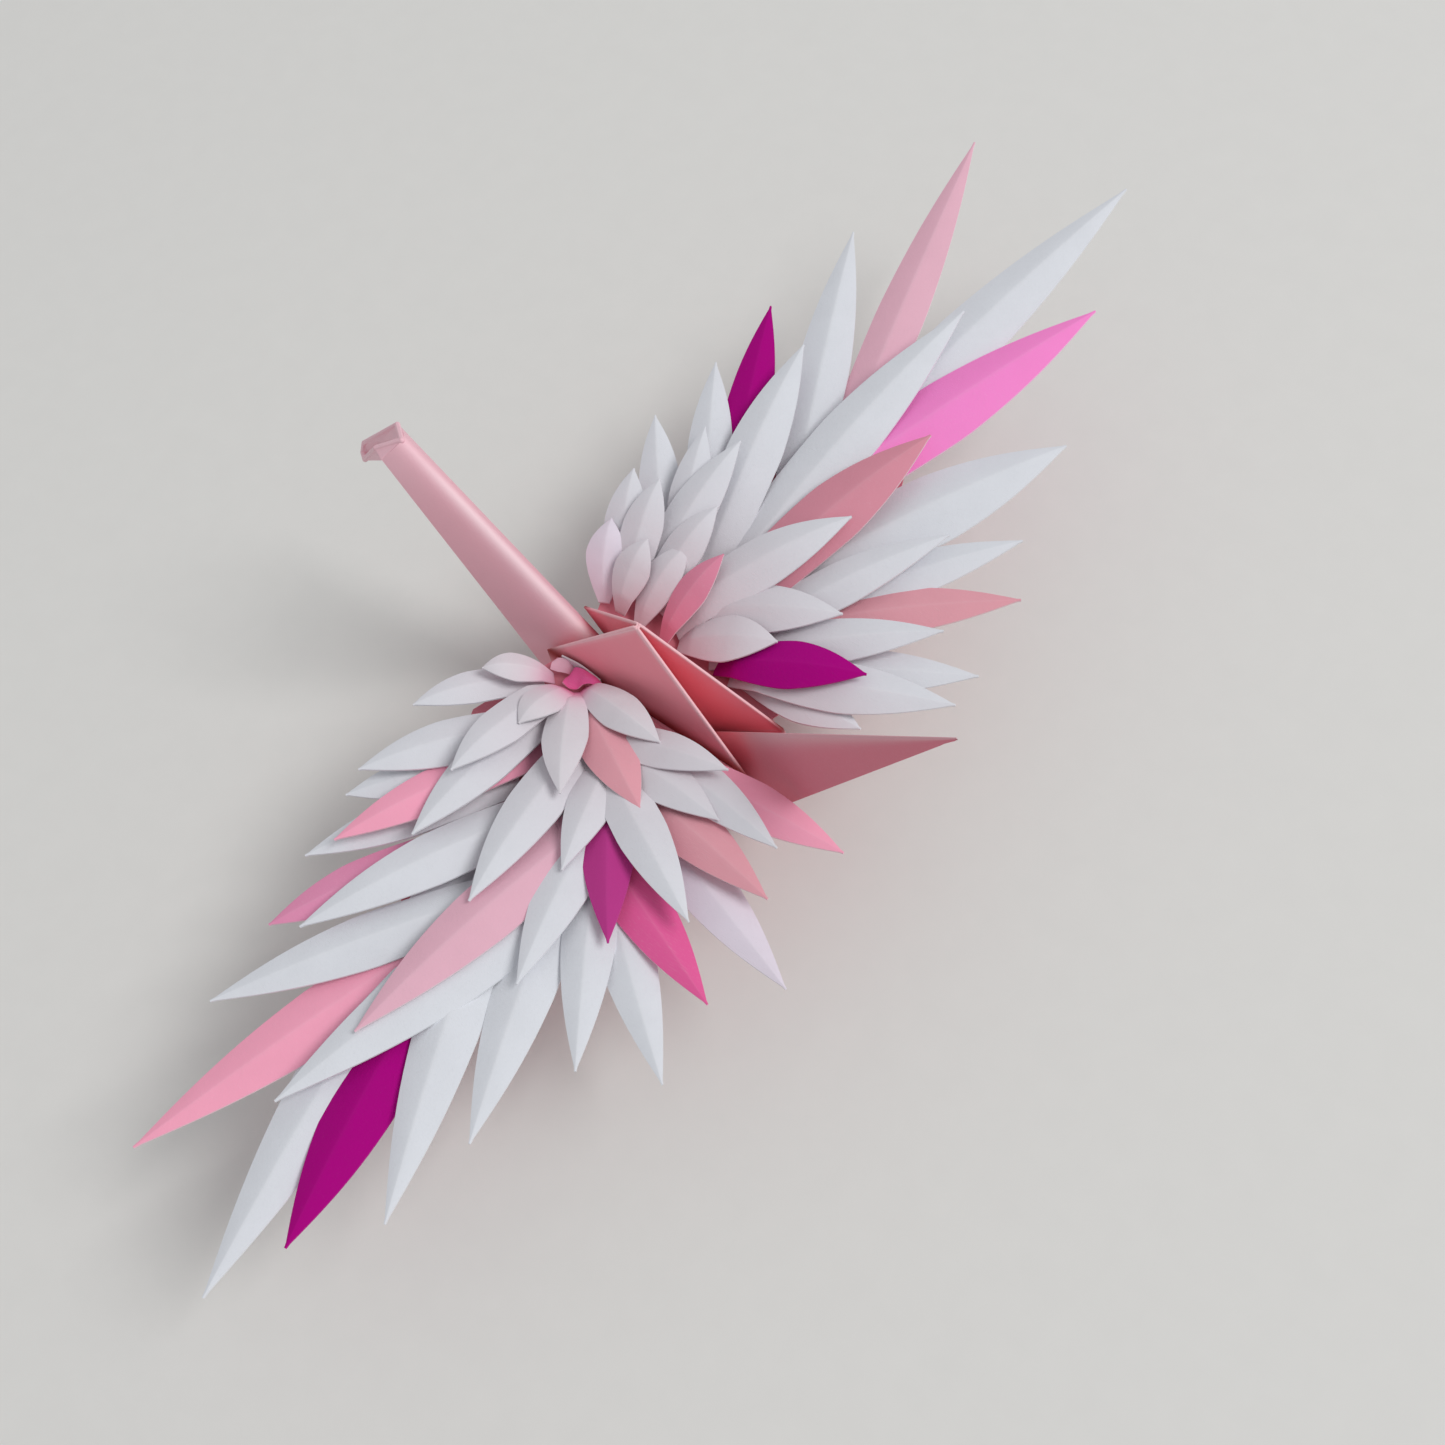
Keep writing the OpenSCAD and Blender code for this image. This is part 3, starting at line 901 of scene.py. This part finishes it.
LEFT_FEATHERS = (
    (
        Feather(-92, 42.5, Paper.ROSE, heading=-93.5),
        Feather(-70, 50.5, Paper.LILAC, heading=-73),
        Feather(-59, 48, Paper.PETAL, 1, 1.05, -70),
        Feather(-50, 55.5, heading=-54),
        Feather(-39, 52.5, Paper.WHITE, 0.9, 1.0, -35),
        Feather(-27, 62, Paper.WHITE, 0.8, 1.05, -22),
        Feather(-21, 73.5, Paper.WHITE, 1.2, 1.0, -24),
        Feather(-13, 80, Paper.PLUM, 0.6, 1.2, -14, 42),
        Feather(-8.7, 89.3, Paper.WHITE, 0, 1.05, -11),
        Feather(5, 81, Paper.ROSE, 0, 1.0, 17),
        Feather(11, 62.5, Paper.WHITE, 1.0, 1.0, 32),
        Feather(15, 51, Paper.FADED, 0.4, 1.05, 25, 26),
        Feather(22.5, 42.5, heading=30),
        Feather(31, 34.5, Paper.WHITE, 0, 1.15, 38),
    ),
    (
        Feather(-84, 36.5, Paper.WHITE, 0.7, 1.0, -83),
        Feather(-76, 40.5, Paper.SALMON, 0, 1.1, -82),
        Feather(-61.5, 38.5, Paper.WHITE, 1.9, 1.0, -64),
        Feather(-45.5, 37, Paper.BRIGHT, 0, 1.1, -40),
        Feather(-29, 42, Paper.WHITE, 0, 1.1, -17),
        Feather(-8.5, 54, Paper.BLUSH, 1, 1.1, 7),
        Feather(-4.5, 66, Paper.WHITE, 0, 1.15, 13),
        Feather(10, 48, Paper.WHITE, 0, 1.05, 24),
        Feather(20, 38, Paper.ROSE, heading=23),
        Feather(33.5, 31.5, Paper.WHITE, 0, 1.15, 33),
    ),
    (
        Feather(-89.5, 29, Paper.WHITE, 2.2, 0.85, -102),
        Feather(-79, 32.5, Paper.WHITE, 0.7, 1.0, -86),
        Feather(-40, 30, Paper.WHITE, 0, 1.0, -20),
        Feather(-20.5, 35.5, Paper.WHITE, 1, 1.0, -9),
        Feather(0.5, 30.5, Paper.WHITE, 0.6),
        Feather(3.5, 21, Paper.WHITE, 2.5),
        Feather(40, 21, Paper.WHITE, 0, 0.85),
    ),
    (
        Feather(-83, 17.5, Paper.WHITE, 1.9, 0.92),
        Feather(-62.5, 23.5, Paper.SALMON, 1.0, 1.1),
        Feather(-36, 19, Paper.WHITE, 2.1),
        Feather(2, 10.5, Paper.WHITE, 1.6),
        Feather(57.5, 12.5, Paper.WHITE, 1.0, 0.85, 43, 8.6),
    ),
)
RIGHT_FEATHERS = (
    (
        Feather(-90, 34, Paper.WHITE, 0, 1.1, -86, 19),
        Feather(-78.5, 44, Paper.WHITE, 2, 1.1, -68.5),
        Feather(-71, 45, heading=-62),
        Feather(-56.5, 49, Paper.SALMON, heading=-53),
        Feather(-46, 50, heading=-40),
        Feather(-33, 60, Paper.WHITE, 0.3, 1.45, -30.5),
        Feather(-18.6, 75, Paper.HOT, 1.0, 1.2, -20.5),
        Feather(-9.3, 94, Paper.WHITE, 0, 1.0, -8.3),
        Feather(6, 90, Paper.BLUSH, 0, 0.75, 15),
        Feather(13, 68, Paper.WHITE, 0, 0.95, 25),
        Feather(20, 52, Paper.PLUM, 0, 0.95, 26),
        Feather(27, 41, heading=33),
        Feather(40, 32),
    ),
    (
        Feather(-80, 32, Paper.PLUM, 1.2, 1.2, -69, 22.3),
        Feather(-65, 39.5, heading=-55),
        Feather(-44, 40.5, heading=-33),
        Feather(-23, 44, Paper.DUSTY, 0.8, 1.35, -16),
        Feather(-8, 61.5, Paper.WHITE, 0, 1.1, -5),
        Feather(10, 45, Paper.WHITE, 0, 1.15, 13),
        Feather(24, 28),
    ),
    (
        Feather(-65, 30, Paper.WHITE, 0, 1.1, -66),
        Feather(-38, 32, Paper.WHITE, 1, 1.1, -31),
        Feather(2, 27, Paper.WHITE, 1),
        Feather(-10, 17, Paper.WHITE, 1),
        Feather(22.5, 17, Paper.WHITE, 1.8),
        Feather(36.5, 19.5, Paper.WHITE, 0.2),
    ),
    (
        Feather(-75.5, 23, Paper.WHITE, 0.6, 1.15, -67.5, 15.2),
        Feather(-33, 14.8, Paper.DEEP, 0.9, 0.8, -8),
        Feather(-13, 11.5),
        Feather(16, 9, Paper.WHITE, 1),
        Feather(47, 13, Paper.LILAC),
    ),
)
LOWER_ROWS = (
    FeatherRow("long_feather", (6, 4), 12, 6, 20, 2.0, 1.1, True, 0.0, 0.7),
    FeatherRow("middle_feather", (6, 4), 7, 4, 7, 4.5, 1.1, True, 0.2, 0.75),
    FeatherRow("inner_feather", (10, 2.8), 8, 7, 1.5, 4.8, 0.8, False, 0.4, 0.8, 1.12),
)
TOP_ROWS = {
    Side.LEFT: FeatherRow(
        "top_feather", (8.5, 2.6), 1, 1, 1, 4.2, 0.8, False, 0.6, 0.5, 1.1, hub=(9.5, 2.3)
    ),
    Side.RIGHT: FeatherRow("top_feather", (10, 1.7), 6, 7, -0.7, 4.2, 0.8, False, 0.6, 0.8, 1.15),
}
# The node whose feathers get the white paper with painted pink light.
PAINTED_GLOW_NODE = "left_top_feathers"


@dataclass
class WingPlane:
    """The plane of one wing: u along the crease to the neck, v out from the body, w up off the paper."""

    side: Side
    rise: float = 2.0
    crease: Points = field(init=False)

    def __post_init__(self) -> None:
        """Takes the crease's place from the frame's joint."""
        joint = next(j for j in frame["joints"] if j["name"] == self.side.joint)
        self.crease = np.array(joint["pos_m"]) / MM

    def place(self, local: Points) -> Points:
        """Points of the wing's plane in the model's frame.

        Args:
            local: Points as u, v and w.

        Returns:
            The same points as x, y and z.
        """
        lean = math.radians(self.rise)
        u, v, w = np.moveaxis(local, -1, 0)
        out = v * math.cos(lean) - w * math.sin(lean)
        up = v * math.sin(lean) + w * math.cos(lean)
        return self.crease + np.stack([u, self.side.value * out, up], axis=-1)


@dataclass
class FeatheredWing:
    """One wing: its feathers and the panel of crane paper under them."""

    side: Side
    feathers: tuple[tuple[Feather, ...], ...]
    cut: FeatherCut = field(default_factory=FeatherCut)
    seed: int = 40
    seed_step: int = 7

    def node_of(self, row: FeatherRow, number: int, feather: Feather) -> str:
        """Name of the node that a feather stands for.

        Args:
            row: The row that it belongs to.
            number: Its number in the row.
            feather: The feather.

        Returns:
            The node's name, which the white feathers of an upper row share.
        """
        if not row.fanned and feather.paper is Paper.WHITE:
            return f"{self.side.word}_{row.name}s"
        return f"{self.side.word}_{row.name}_{number:02d}"

    def build(self) -> None:
        """Makes the feathers and dresses the wing's panel."""
        plane = WingPlane(self.side)
        chance = random.Random(self.seed_step * self.side.value + self.seed)
        piles: dict[str, tuple[MeshPile, Paper]] = {}
        for row, feathers in zip((*LOWER_ROWS, TOP_ROWS[self.side]), self.feathers):
            for number, feather in enumerate(feathers, 1):
                node = self.node_of(row, number, feather)
                pile, _ = piles.setdefault(node, (MeshPile(), feather.paper))
                lower = self.cut.grid(row, feather, chance)
                upper = lower + np.array([0.0, 0.0, self.cut.paper_t])
                pile.add_sheet(plane.place(lower), plane.place(upper), self.cut.fold_mask())
        for node, (pile, paper) in piles.items():
            leaf = pile.build(f"{node}_leaf", Paper.STAINED if node == PAINTED_GLOW_NODE else paper)
            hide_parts(node)
            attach(leaf, self.side.body)
        panel = frame["nodes"][f"{self.side.word}_wing"]
        panel.data.materials.clear()
        panel.data.materials.append(Paper.CRANE.value.material())


@dataclass
class FoldedCrane:
    """The crane's body, neck, head and tail, folded from one square sheet."""

    sheet_side: float = 150.0
    kite_angle: float = 90 / 8
    paper_t: float = 0.3
    body_open: float = 12.4
    neck_rise: float = 52.0
    tail_rise: float = 46.7
    belly_drop: float = 5.0
    belly_half: float = 5.2
    beak_share: float = 0.23
    beak_fall: float = 44.0
    neck_bend: tuple[float, float] = (0.35, 0.55)
    tail_bend: tuple[float, float] = (0.05, 0.08)
    tail_blunt: float = 0.008
    tail_half: float = 0.1
    spine_share: float = 0.22
    beak_depth: float = 1.6
    beak_mouth: float = 1.3
    beak_reach: float = 0.6
    spine_drop: float = 1.4
    beak_corners: tuple[Place, Place] = ((0.1, -0.9, 1.1), (-1.3, 0.8, 0.4))
    rim_end: Place = (42.2, 2.0, 47.5)
    cheek_ahead: tuple[float, float] = (-0.2, 1.7)
    head_half: float = 2.6
    head_roll: float = 0.3
    head_drop: float = 1.8
    head_r: float = 0.2
    rim_r: float = 0.42
    rim_fold: float = 0.3
    rim_steps: int = 12
    ridge_gap: float = 0.32
    wall_r: float = 0.2
    gusset_r: float = 0.16
    ridge_r: float = 0.19
    ridge_steps: int = 24
    loop_x: float = 0.45
    loop_steps: int = 9
    leg_rows: int = 26
    leg_columns: int = 41

    def __post_init__(self) -> None:
        """Works out the lengths that the folds of a square sheet give."""
        self.apex_x = float(WingPlane(Side.LEFT).crease[0])
        self.hump_h = self.sheet_side * (math.sqrt(2) - 1) / 2
        self.leg_len = self.sheet_side / 2
        self.narrow_half = self.leg_len * math.tan(math.radians(self.kite_angle))
        ratio = (1 + self.hump_h / self.leg_len) / (1 + self.narrow_half / self.leg_len)
        self.shoulder_x = self.narrow_half * ratio
        self.shoulder_h = self.hump_h - self.shoulder_x
        self.foot_x = self.narrow_half * (1 - self.belly_drop / self.leg_len)
        self.lean = math.radians(self.body_open)
        self.apex_z = self.belly_drop + self.hump_h * math.cos(self.lean)
        self.crotch = np.array([self.apex_x, 0.0, self.belly_drop])
        self.head_share = 1 - self.beak_share
        self.neck_point = self.crotch + self.leg_len * self.upward(self.neck_rise)
        head = self.crotch + self.head_share * (self.neck_point - self.crotch)
        self.neck_end = head + self.spine_drop * self.upward(self.neck_rise - 90)
        reach = self.leg_len * self.beak_share + self.beak_reach
        self.beak_tip = self.neck_end + reach * self.upward(-self.beak_fall)
        self.tail_end = self.crotch + self.leg_len * self.upward(180 - self.tail_rise)

    def upward(self, angle: float) -> Points:
        """Direction in the crane's middle plane, in degrees up from straight ahead."""
        return np.array([math.cos(math.radians(angle)), 0.0, math.sin(math.radians(angle))])

    def on_wall(self, x: float, height: float, side: Side) -> Points:
        """Point on a hump wall.

        Args:
            x: Distance along the body from its middle.
            height: Distance up the wall from its foot.
            side: Which of the two walls.

        Returns:
            The point in the model's frame.
        """
        down = self.hump_h - height
        out = self.ridge_gap + down * math.sin(self.lean)
        return np.array([
            self.apex_x + x, side.value * out, self.apex_z - down * math.cos(self.lean)
        ])

    def shoulder(self, end: End, side: Side) -> Points:
        """Where a ridge of the hump meets the wing's crease."""
        return self.on_wall(end.value * self.shoulder_x, self.shoulder_h, side)

    def wall_corner(self, end: End, side: Side) -> Points:
        """Lower corner of a hump wall."""
        return self.on_wall(end.value * self.narrow_half, 0.0, side)

    def foot(self, end: End, side: Side) -> Points:
        """Belly corner that the crane stands on."""
        x = self.apex_x + end.value * self.foot_x
        return np.array([x, side.value * self.belly_half, self.gusset_r])

    def hump(self) -> MeshPile:
        """Makes the two hump walls, the flaps against them and the inner folds at both ends.

        Returns:
            The hump as one pile of panels.
        """
        pile = MeshPile()
        for side in Side:
            top = self.on_wall(0.0, self.hump_h, side)
            wall = [
                top,
                self.shoulder(End.NECK, side),
                self.wall_corner(End.NECK, side),
                self.wall_corner(End.TAIL, side),
                self.shoulder(End.TAIL, side),
            ]
            pile.add_plate(wall, self.wall_r)
            for end in End:
                corner, foot = self.shoulder(end, side), self.foot(end, side)
                inner = self.crotch + np.array([end.value * self.ridge_gap, 0.0, 0.0])
                pile.add_plate([top, corner, inner], self.gusset_r)
                pile.add_plate([corner, inner, foot], self.gusset_r)
                pile.add_plate([corner, self.wall_corner(end, side), foot], self.gusset_r)
        for end in End:
            pile.add_tube(self.ridge_line(end), self.ridge_r)
        return pile

    def ridge_line(self, end: End) -> Points:
        """The fold round one pocket of the hump: up one wall, round a small loop, down the other.

        Args:
            end: Neck or tail.

        Returns:
            Points along the fold.
        """
        left, right = (self.on_wall(end.value * self.loop_x, self.hump_h, side) for side in Side)
        up = np.linspace(self.shoulder(end, Side.LEFT), left, self.ridge_steps)
        down = np.linspace(right, self.shoulder(end, Side.RIGHT), self.ridge_steps)
        turn = np.linspace(0, np.pi, self.loop_steps)[1:-1]
        bow = np.stack([-end.value * np.sin(turn), np.cos(turn), 0 * turn], axis=1)
        return np.concatenate([up, left * [1, 0, 1] + self.ridge_gap * bow, down])

    def leg(self, end: End, stops: tuple[Points, ...], bends: tuple[float, float]) -> MeshPile:
        """A leg of the crane: two sides that hang from a rounded spine.

        Args:
            end: Neck or tail.
            stops: Where the spine, the left edge and the right edge stop.
            bends: How round the spine is by the body and at the far end, from 0 for a sharp fold.

        Returns:
            The leg as one sheet.
        """
        starts = (self.crotch, self.foot(end, Side.LEFT), self.foot(end, Side.RIGHT))
        lines = [np.linspace(*line, self.leg_rows)[:, None] for line in zip(starts, stops)]
        spine, left, right = lines
        steps = np.linspace(-1, 1, self.leg_columns)
        bend = np.linspace(*bends, self.leg_rows)[:, None]
        drop = (np.sqrt(steps**2 + bend**2) - bend) / (np.sqrt(1 + bend**2) - bend)
        edge = np.where(steps[:, None] < 0, right, left)
        inner = spine + drop[:, :, None] * (edge - spine)
        inner[..., 1] = np.abs(steps) * edge[..., 1]
        # A broad pale band along the spine: partly fold whitening and, on the neck with its strong
        # crease lightening, a painted highlight.
        fold = np.tile(np.exp(-((steps / self.spine_share) ** 2)), (self.leg_rows, 1))
        pile = MeshPile()
        pile.add_paper(inner, self.paper_t, fold, cut=0.0)
        return pile

    def cheek(self, side: Side) -> Points:
        """Where the fold across the head meets the neck's front edge.

        Args:
            side: Which side of the neck.

        Returns:
            The point in the model's frame.
        """
        foot = self.foot(End.NECK, side)
        edge = foot + self.head_share * (self.neck_point - foot)
        ahead = self.cheek_ahead[side is Side.RIGHT]
        sideways = side.value * self.head_half + self.head_roll
        return np.array([edge[0] + ahead, sideways, edge[2] - self.head_drop])

    def neck(self) -> MeshPile:
        """The neck, a channel that is open below."""
        stops = (self.neck_end, self.cheek(Side.LEFT), self.cheek(Side.RIGHT))
        return self.leg(End.NECK, stops, self.neck_bend)

    def tail(self) -> MeshPile:
        """Makes the tail, sharply folded along its top.

        Returns:
            The tail as one sheet.
        """
        foot = 0.5 * (self.foot(End.TAIL, Side.LEFT) + self.foot(End.TAIL, Side.RIGHT))
        blunt = self.tail_end + self.tail_blunt * (foot - self.tail_end)
        wide = np.array([0.0, self.tail_half, 0.0])
        return self.leg(End.TAIL, (self.tail_end, blunt + wide, blunt - wide), self.tail_bend)

    def head(self) -> MeshPile:
        """Makes the beak, turned inside out between the neck's sides: a soft channel, folded below.

        Returns:
            The head as one pile of panels and rounded rims.
        """
        pile = MeshPile()
        crown, beak, cheek = self.neck_end, self.beak_tip, self.cheek(Side.LEFT)
        far, near = self.cheek(Side.RIGHT), np.array(self.rim_end)
        far_tip, near_tip = (beak + np.array(shift) for shift in self.beak_corners)
        nape = crown + self.beak_mouth * unit(0.5 * (far + near) - crown)
        valley = beak - np.array([self.beak_depth, 0.0, 0.0])
        panels = (
            [nape, far, far_tip, valley],
            [nape, near, near_tip, valley],
            [crown, cheek, near],
            [near, cheek, near_tip],
            [crown, far, nape],
            [crown, near, nape],
            [far_tip, beak, valley],
            [beak, near_tip, valley],
        )
        for panel in panels:
            pile.add_plate(panel, self.head_r, 0.0)
        rim = [crown, far, far_tip, beak, near_tip, near]
        for here, after in zip(rim, rim[1:] + rim[:1]):
            pile.add_tube(np.linspace(here, after, self.rim_steps), self.rim_r, self.rim_fold)
            pile.add_ball(here, self.rim_r)
        return pile

    def build(self) -> None:
        """Makes the crane's pieces, which all belong to the standing body."""
        pieces = (
            ("folded_hump", self.hump(), Paper.FOLD),
            ("folded_neck", self.neck(), Paper.NECK),
            ("folded_head", self.head(), Paper.HEAD),
            ("folded_tail", self.tail(), Paper.CRANE),
        )
        for name, pile, paper in pieces:
            piece = pile.build(name, paper)
            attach(piece, "crane")
            if name == "folded_hump":
                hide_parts("crane_body")


@dataclass(frozen=True)
class Petal:
    """A small curled scrap of paper between two curves of the wing's plane."""

    name: str
    paper: Paper
    root: tuple[Place, ...]
    brim: tuple[Place, ...]
    bulge: float
    rows: int = 16
    columns: int = 33

    def curve(self, points: tuple[Place, ...]) -> Points:
        """Smooth curve through a few places.

        Args:
            points: The places that it passes through.

        Returns:
            Points along it, one for each column.
        """
        given = np.array(points)
        ends = np.concatenate([2 * given[:1] - given[1:2], given, 2 * given[-1:] - given[-2:-1]])
        where = np.linspace(0, len(given) - 1, self.columns)
        at = np.minimum(where.astype(int), len(given) - 2)
        t = (where - at)[:, None]
        a, b, c, d = (ends[at + k] for k in range(4))
        square, cube = 2 * a - 5 * b + 4 * c - d, 3 * b - a - 3 * c + d
        return 0.5 * (2 * b + (c - a) * t + square * t**2 + cube * t**3)

    def build(self, plane: WingPlane, paper_t: float) -> bpy.types.Object:
        """Makes the petal.

        Args:
            plane: The wing's plane.
            paper_t: Thickness of its paper.

        Returns:
            The new object, riding on the wing.
        """
        middle = np.linspace(self.curve(self.root), self.curve(self.brim), self.rows)
        middle[..., 2] += self.bulge * np.sin(np.pi * np.linspace(0, 1, self.rows))[:, None]
        pile = MeshPile()
        pile.add_paper(plane.place(middle), paper_t, np.zeros((self.rows, self.columns)))
        petal = pile.build(self.name, self.paper)
        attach(petal, plane.side.body)
        return petal


@dataclass
class CurledPetals:
    """Small petals rolled up by the left wing's crease, over the roots of its feathers."""

    paper_t: float = 0.22
    petals: tuple[Petal, ...] = (
        Petal(
            "left_petals_curl",
            Paper.PETAL,
            (
                (11.7, 1.0, 0.4), (11.4, 0.4, 1.9), (10.2, 0.2, 2.6),
                (8.6, 0.3, 3.1), (6.9, 0.4, 3.1), (5.4, 0.7, 2.2),
            ),
            (
                (10.9, 3.4, 2.8), (9.6, 3.5, 2.6), (8.6, 3.0, 2.6),
                (7.9, 2.1, 3.3), (6.6, 1.4, 3.4), (4.9, 1.3, 1.8),
            ),
            0.35,
        ),
        Petal(
            "left_petals_lobe",
            Paper.BLUSH,
            ((11.8, -0.2, 0.4), (12.6, 0.0, 1.9), (14.0, 0.4, 2.2), (14.6, 1.4, 2.0)),
            ((11.6, 1.0, 0.4), (12.3, 1.6, 1.5), (13.2, 2.1, 1.7), (14.2, 2.4, 1.9)),
            0.2,
        ),
        Petal(
            "left_petals_back",
            Paper.WHITE,
            ((13.9, 0.1, 0.4), (10.5, 0.0, 0.4), (7.2, 0.0, 0.4)),
            ((14.0, 0.0, 2.4), (10.5, -0.1, 2.9), (7.0, 0.0, 2.3)),
            0.0,
        ),
    )

    def build(self) -> None:
        """Makes the petals, which ride on the left wing."""
        plane = WingPlane(Side.LEFT)
        for petal in self.petals:
            made = petal.build(plane, self.paper_t)
            if petal.paper is Paper.PETAL:
                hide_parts("left_petals")


@dataclass
class WingCrease:
    """The strip of crane paper that runs round the fold between the body and a wing."""

    side: Side
    lean: float
    half_length: float = 15.4
    below: float = 1.6
    out: float = 1.4
    paper_t: float = 0.24
    fold: float = 0.4
    rows: int = 13
    columns: int = 25

    def build(self) -> None:
        """Makes the strip."""
        plane = WingPlane(self.side)
        down = np.array([0.0, self.side.value * math.sin(self.lean), -math.cos(self.lean)])
        level = np.array([0.0, self.side.value * math.cos(math.radians(plane.rise)), 0.0])
        start = plane.crease + self.below * down
        end = plane.crease + self.out * level
        t = np.linspace(0, 1, self.rows)[:, None]
        line = (1 - t) ** 2 * start + 2 * t * (1 - t) * plane.crease + t**2 * end
        along = np.linspace(-self.half_length, self.half_length, self.columns)
        middle = line[:, None] + np.outer(along, (1, 0, 0))
        pile = MeshPile()
        pile.add_paper(middle, self.paper_t, np.full(middle.shape[:2], self.fold))
        strip = pile.build(f"{self.side.word}_crease_strip", Paper.CRANE)
        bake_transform(strip)


@dataclass
class Studio:
    """The pale table, the soft light from behind the crane's right and the camera above its left."""

    paper: PaperFinish = PaperFinish(
        "table",
        (0.885, 0.877, 0.862),
        core=(0.885, 0.877, 0.862),
        cloudiness=0.02,
        tooth_strength=0.0,
        gloss=0.15,
        part="paper",
    )
    table_half: float = 1.6
    stand: Place = (-110.2, 70.1, 244.8)
    look: Place = (0.39405, -0.27312, -0.87757)
    up: Place = (0.48815, -0.74683, 0.45162)
    lens: float = 47.6
    sensor: float = 36.0
    near: float = 10.0
    key_azimuth: float = 210.0
    key_elevation: float = 49.0
    key_distance: float = 2.4
    key_size: float = 1.1
    key_power: float = 29.0
    sky: Colour = (0.80, 0.81, 0.82)
    sky_strength: float = 0.77

    def table(self) -> None:
        """Makes the pale paper-covered table that the crane stands on."""
        mesh = bpy.data.meshes.new("table")
        h = self.table_half
        mesh.from_pydata([(-h, -h, 0), (h, -h, 0), (h, h, 0), (-h, h, 0)], [], [(0, 1, 2, 3)])
        mesh.materials.append(self.paper.material())
        table = bpy.data.objects.new("table", mesh)
        bpy.context.scene.collection.objects.link(table)

    def light(self) -> None:
        """Sets a large soft lamp, with an even sky for the rest."""
        turn, lift = math.radians(self.key_azimuth), math.radians(self.key_elevation)
        level = math.cos(lift)
        way = Vector((math.cos(turn) * level, math.sin(turn) * level, math.sin(lift)))
        data = bpy.data.lights.new("window", "AREA")
        data.shape = "DISK"
        data.size = self.key_size
        data.energy = self.key_power
        lamp = bpy.data.objects.new("window", data)
        lamp.location = way * self.key_distance
        lamp.rotation_euler = way.to_track_quat("Z", "Y").to_euler()
        bpy.context.scene.collection.objects.link(lamp)
        world = bpy.data.worlds.new("room")
        world.use_nodes = True
        sky = world.node_tree.nodes["Background"]
        NodeTree(world.node_tree).set(sky, Color=linear(self.sky), Strength=self.sky_strength)
        bpy.context.scene.world = world

    def camera(self) -> None:
        """Sets the camera, above and behind the crane's left side."""
        data = bpy.data.cameras.new("camera")
        data.lens = self.lens
        data.sensor_width = self.sensor
        data.clip_start = self.near * MM
        eye = bpy.data.objects.new("camera", data)
        back = -Vector(self.look).normalized()
        right = Vector(self.up).cross(back).normalized()
        turn = Matrix((right, back.cross(right), back)).transposed()
        eye.matrix_world = Matrix.Translation(Vector(self.stand) * MM) @ turn.to_4x4()
        bpy.context.scene.collection.objects.link(eye)
        bpy.context.scene.camera = eye

    def build(self) -> None:
        """Sets the camera, the table, the light and how colours are shown."""
        self.camera()
        self.table()
        self.light()
        bpy.context.scene.view_settings.view_transform = "Standard"


def main() -> None:
    """Builds the crane, its wings and the studio in order."""
    logging.basicConfig(level=logging.INFO, format="%(name)s %(message)s")
    Studio().build()
    crane = FoldedCrane()
    crane.build()
    for side, feathers in ((Side.LEFT, LEFT_FEATHERS), (Side.RIGHT, RIGHT_FEATHERS)):
        FeatheredWing(side, feathers).build()
        WingCrease(side, crane.lean).build()
    CurledPetals().build()


if __name__ == "__main__":
    main()
